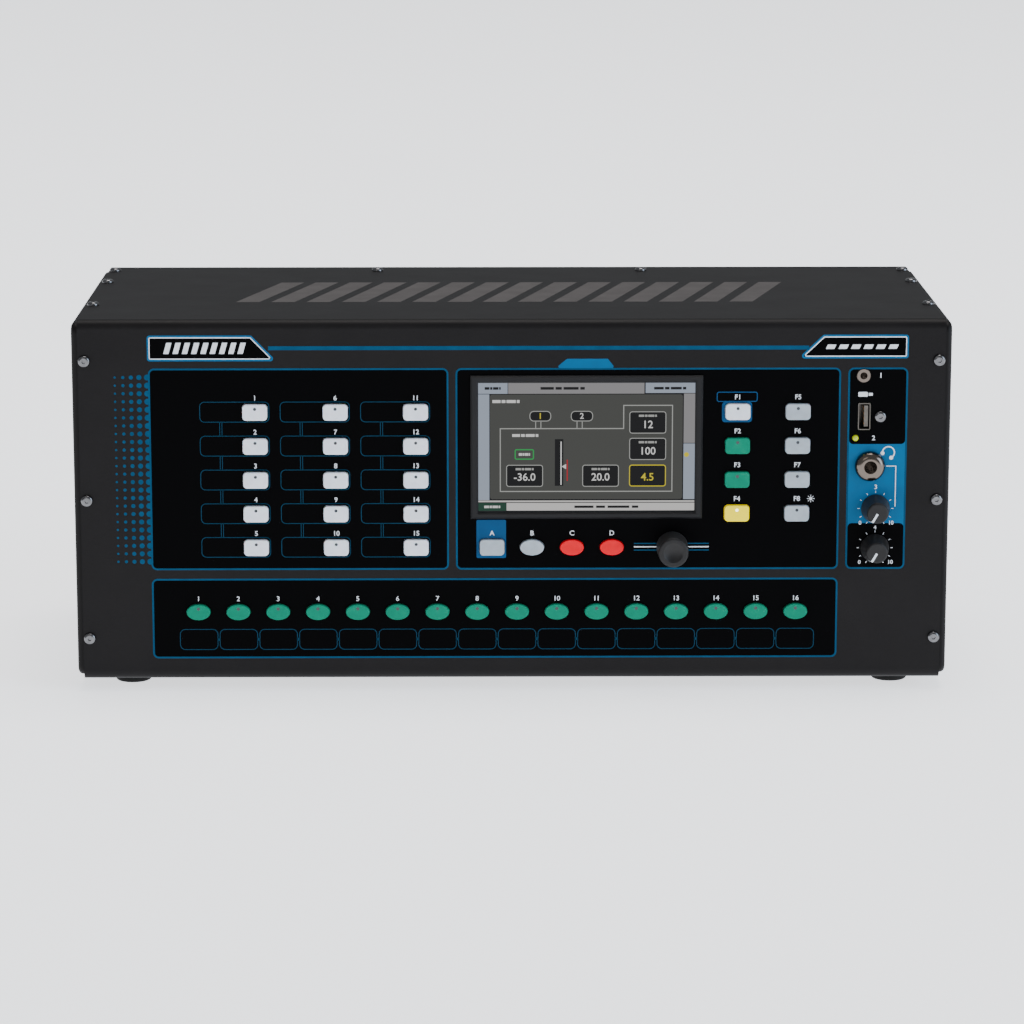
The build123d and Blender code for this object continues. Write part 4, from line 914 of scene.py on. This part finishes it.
page = [
    # name, colour, layer, outlines in mm from the middle of the display
    ("Page", "Black", 0, [box2d(-54, 54, -32.4, 32.4)]),
    ("GreyBars", "BarGrey", 1, [box2d(-39.1, 28.7, 27.0, 32.4), box2d(48.4, 54, 2.0, 27.0)]),
    ("PaleTabs", "PaleBlue", 1, [box2d(-54, -39.4, 27.0, 32.4), box2d(29.3, 54, 27.3, 32.4),
                                 box2d(-54, -48.5, -27.0, 26.7), box2d(48.4, 54, -26.6, 1.7)]),
    ("Dialog", "PageGrey", 1, [roundCorners(box2d(-48.2, 47.9, -26.5, 26.6), 1.2)]),
    ("LightBars", "LightGrey", 1, [box2d(-39.9, 54, -32.3, -28.4), box2d(-54, 54, -28.0, -27.2)]),
    ("DarkButton", "DarkGreen", 1, [box2d(-54, -40.1, -32.4, -28.4)]),
    ("Frame", "LineGrey", 2, [frameLoop, frameInner]),
    ("PillFaces", "Black", 2, [roundCorners(p, 2.2) for p in pills]),
    ("ValueFaces", "Black", 2, [roundCorners(p, 1.4) for p in valueBoxes]),
    ("PillEdges", "LineGrey", 3, pillEdges),
    ("ValueEdges", "LineGrey", 3, [loop for p in valueBoxes[:4] for loop in ring(p, 1.4, 0.4)]),
    ("YellowEdge", "Yellow", 3, ring(valueBoxes[4], 1.4, 0.45)),
    ("YellowDot", "Yellow", 2, [circle2d(49.9, -3.9, 1.2, steps=24)]),
    ("GreenEdge", "Green", 3, ring(box2d(-35.9, -26.2, -6.4, -1.0), 1.0, 0.6)),
    ("Meter", "Black", 2, [box2d(-15.8, -11.6, -19.7, 4.0)]),
    ("MeterLine", "White", 3, [box2d(-13.0, -12.4, -19.2, 2.8), [(-12.4, -9.9), (-10.2, -8.6), (-10.2, -11.2)]]),
    ("MeterRed", "Red", 3, [box2d(-9.9, -9.3, -17.2, -6.4)]),
    ("Words", "White", 3, wordBars(-40.2, 23.1, 13.5, 1.5) + wordBars(-30.6, 5.9, 13.0, 1.4)
     + wordBars(-31.0, -3.7, 5.6, 1.3)),
    ("DarkWords", "Black", 2, wordBars(-46.8, 29.7, 8.0, 1.3) + wordBars(-12.0, 29.7, 22.0, 1.3)
     + wordBars(41.5, 29.7, 16.0, 1.3) + wordBars(10.0, -30.4, 32.0, 1.2)),
    ("ButtonWords", "White", 2, wordBars(-47.1, -30.4, 8.0, 1.2)),
    ("ValueNames", "LineGrey", 3, valueNames),
]
for name, colour, layer, loops in page:
    printed("screen" + name, loops, lcd[colour], picture["layer"] * layer, picture["layer"] * (layer + 1),
            plane=glassPlane)
for name, colour, items in (
        ("Figures", "White", [("-36.0", -30.9, -15.4, 3.9), ("20.0", 7.0, -15.4, 3.9), ("12", 30.5, 11.2, 3.9),
                              ("100", 30.5, -2.2, 3.9)]),
        ("YellowFigure", "Yellow", [("4.5", 30.5, -15.4, 3.9), ("1", -23.1, 15.6, 3.0)]),
        ("SecondPill", "White", [("2", -2.4, 15.6, 3.0)])):
    lettering("screen" + name, items, lcd[colour], picture["layer"] * 3, picture["layer"] * 4, plane=glassPlane,
              weight=0.06)
print("display picture done")


# ---- contacts and legends of the sockets

rearPlane = Matrix(((-1, 0, 0, 0), (0, 0, 1, rearY), (0, 1, 0, baseZ), (0, 0, 0, 1)))
inputPlaces, outputPlaces, boxPlaces, jackPlaces = [], [], [], []
for _, low, high in solidsOf("rear_sockets"):
    width, _, height = (b - a for a, b in zip(low, high))
    place = (low[0] + high[0]) / 2, (low[2] + high[2]) / 2
    if 20 < width < 24 and height > 26 and place[1] > 60:
        (inputPlaces if place[0] > 0 else outputPlaces).append(place)
    elif 15 < width < 17 and 12 < height < 15:
        boxPlaces.append(place)
    elif 15 < width < 17 and height < 17:
        jackPlaces.append(place)


def gridOf(places):
    # columns, rows and pitches of a block of sockets, and its middle as seen from the rear
    xs = sorted({round(x, 2) for x, _ in places})
    zs = sorted({round(z, 2) for _, z in places})
    pitchX, pitchZ = ((c[-1] - c[0]) / max(len(c) - 1, 1) for c in (xs, zs))
    return gridSize(len(xs), len(zs), pitchX, pitchZ), (-(xs[0] + xs[-1]) / 2, (zs[0] + zs[-1]) / 2)


# nickel sleeves on the faces of the inputs, each with a dark disc as painted shade where its bore is, and plated
# sleeves over the pins of the outputs
contact = {"circle": 4.7, "face": 0.6}
contactSets = {
    # name: (places, radius, length, height of its middle, material)
    "inputSleeves": (inputPlaces, 1.75, 0.12, contact["face"] + 0.03, nickel),
    # dark nylon discs laid over the bores: painted shade standing in for the shadowed holes
    "inputBorePaintedShade": (inputPlaces, 1.25, 0.16, contact["face"] + 0.04, nylonBlack),
    "outputPins": (outputPlaces, 1.28, 9.4, -6.5, gold),
}
for name, (places, radius, length, height, mat) in contactSets.items():
    sizes, middle = gridOf(places)
    grown(name, "contacts", {**sizes, "Circle": contact["circle"], "Radius": radius, "Length": length}, mat,
          (*middle, height), rearPlane)

# thin printed frames and figures round the rear sockets
rearInk = {"line": 0.5, "corner": 2.0, "below": 0.5, "above": 3.6, "figure": 2.4}
rearItems = []
for name, places, reach, gap in (("input", inputPlaces, 13.6, 14.6), ("output", outputPlaces, 13.6, 14.6),
                                 ("jack", jackPlaces, 10.5, 9.8)):
    xs, zs = [-x for x, _ in places], [z for _, z in places]
    field = box2d(min(xs) - reach, max(xs) + reach, min(zs) - reach - rearInk["below"],
                  max(zs) + reach + rearInk["above"])
    printed(name + "Frame", ring(field, rearInk["corner"], rearInk["line"]), whiteInk, sunk, ink, plane=rearPlane)
    ordered = sorted(places, key=lambda p: (-round(p[1]), -p[0]))
    rearItems += [(str(n), -x, z + gap, rearInk["figure"]) for n, (x, z) in enumerate(ordered, 1)]
lettering("rearFigures", rearItems, whiteInk, -0.01, ink, plane=rearPlane, weight=0.04)

# eight gold springs in each network socket
springs = {"count": 8, "pitch": 1.02, "width": 0.45, "length": 2.4, "thick": 4.0, "up": 2.6, "deep": -5.0}
for number, (x, z) in enumerate(boxPlaces):
    grown(f"networkSprings{number + 1}", "bars",
          {**gridSize(springs["count"], 1, springs["pitch"], 0), "Bar Width": springs["width"],
           "Bar Height": springs["length"], "Height": springs["thick"]}, gold,
          (-x, z + springs["up"], springs["deep"]), rearPlane)

# four gold contacts on the tongue of the memory socket
strips = {"count": 4, "pitch": 2.5, "width": 1.1, "long": 9.0, "start": 2.2, "left": -0.12, "right": 0.05}
built = bmesh.new()
for step in range(strips["count"]):
    z = usbZ + (step - (strips["count"] - 1) / 2) * strips["pitch"]
    low = (usbX + strips["left"], strips["start"], z - strips["width"] / 2)
    high = (usbX + strips["right"], strips["start"] + strips["long"], z + strips["width"] / 2)
    corners = bmesh.ops.create_cube(built, size=1.0)["verts"]
    for v in corners:
        v.co = [(a + b) / 2 + c * (b - a) for a, b, c in zip(low, high, v.co)]
    edges = [e for e in built.edges if e.verts[0] in corners]
    bmesh.ops.bevel(built, geom=edges, offset=0.05, segments=1, affect="EDGES")
mesh = meshOf("memoryContacts", built)
mesh.transform(Matrix.Translation((0, frontY, baseZ)) @ Matrix.Scale(mm, 4))
newPiece("memoryContacts", mesh, gold)
print("sockets done")


# ---- the room: a plain pale floor, soft light and the camera

studio = {
    "floor": 40.0,                      # half its width, in metres
    "world": ("#f2f6fa", 0.4),
    # name: (place, aim, width, height, watts, colour)
    "lights": {
        "topSoftbox": ((0.3, 0.6, 5.0), (0, 0, 0), 2.6, 2.2, 150.0, "#fffaf6"),
        "rightSoftbox": ((4.2, -2.2, 1.6), (0, 0, 0.1), 3.0, 3.0, 150.0, "#d9ebff"),
        "frontFill": ((-1.4, -4.6, 2.6), (0, 0, 0.1), 2.0, 1.4, 14.0, "#fff6ef"),
    },
    "camera": ((-0.017, frontY - 1.908, 0.482), (0.0, frontY, baseZ + 0.0859)),
    "lens": 136.8,
}


def aimed(name, data, place, aim):
    item = linked(name, data)
    item.location = place
    item.rotation_euler = (Vector(aim) - Vector(place)).to_track_quat("-Z", "Y").to_euler()
    return item


floorMesh = bpy.data.meshes.new("floor")
floorMesh.from_pydata([(x * studio["floor"], y * studio["floor"], 0)
                       for x, y in ((-1, -1), (1, -1), (1, 1), (-1, 1))], [], [(0, 1, 2, 3)])
floorMesh.materials.append(painted("seamlessPaperWhite", "#f2f3f5", 0.8, 0.1,
                                   (400, "#f1f2f4", "#f3f4f6", (0.75, 0.85)),
                                   Emission_Color=hexColour("#f4f6fa"), Emission_Strength=1.5))
linked("floor", floorMesh)

world = bpy.data.worlds.new("studioAir")
bpy.context.scene.world = world
world.use_nodes = True
air = world.node_tree.nodes["Background"].inputs
air["Color"].default_value = hexColour(studio["world"][0])
air["Strength"].default_value = studio["world"][1]
for name, (place, aim, width, height, power, colour) in studio["lights"].items():
    lamp = bpy.data.lights.new(name, "AREA")
    lamp.shape = "RECTANGLE"
    lamp.size = width
    lamp.size_y = height
    lamp.energy = power
    lamp.color = hexColour(colour)[:3]
    aimed(name, lamp, place, aim)

camera = aimed("camera", bpy.data.cameras.new("camera"), *studio["camera"])
camera.data.lens = studio["lens"]
camera.data.sensor_width = 36.0
bpy.context.scene.camera = camera
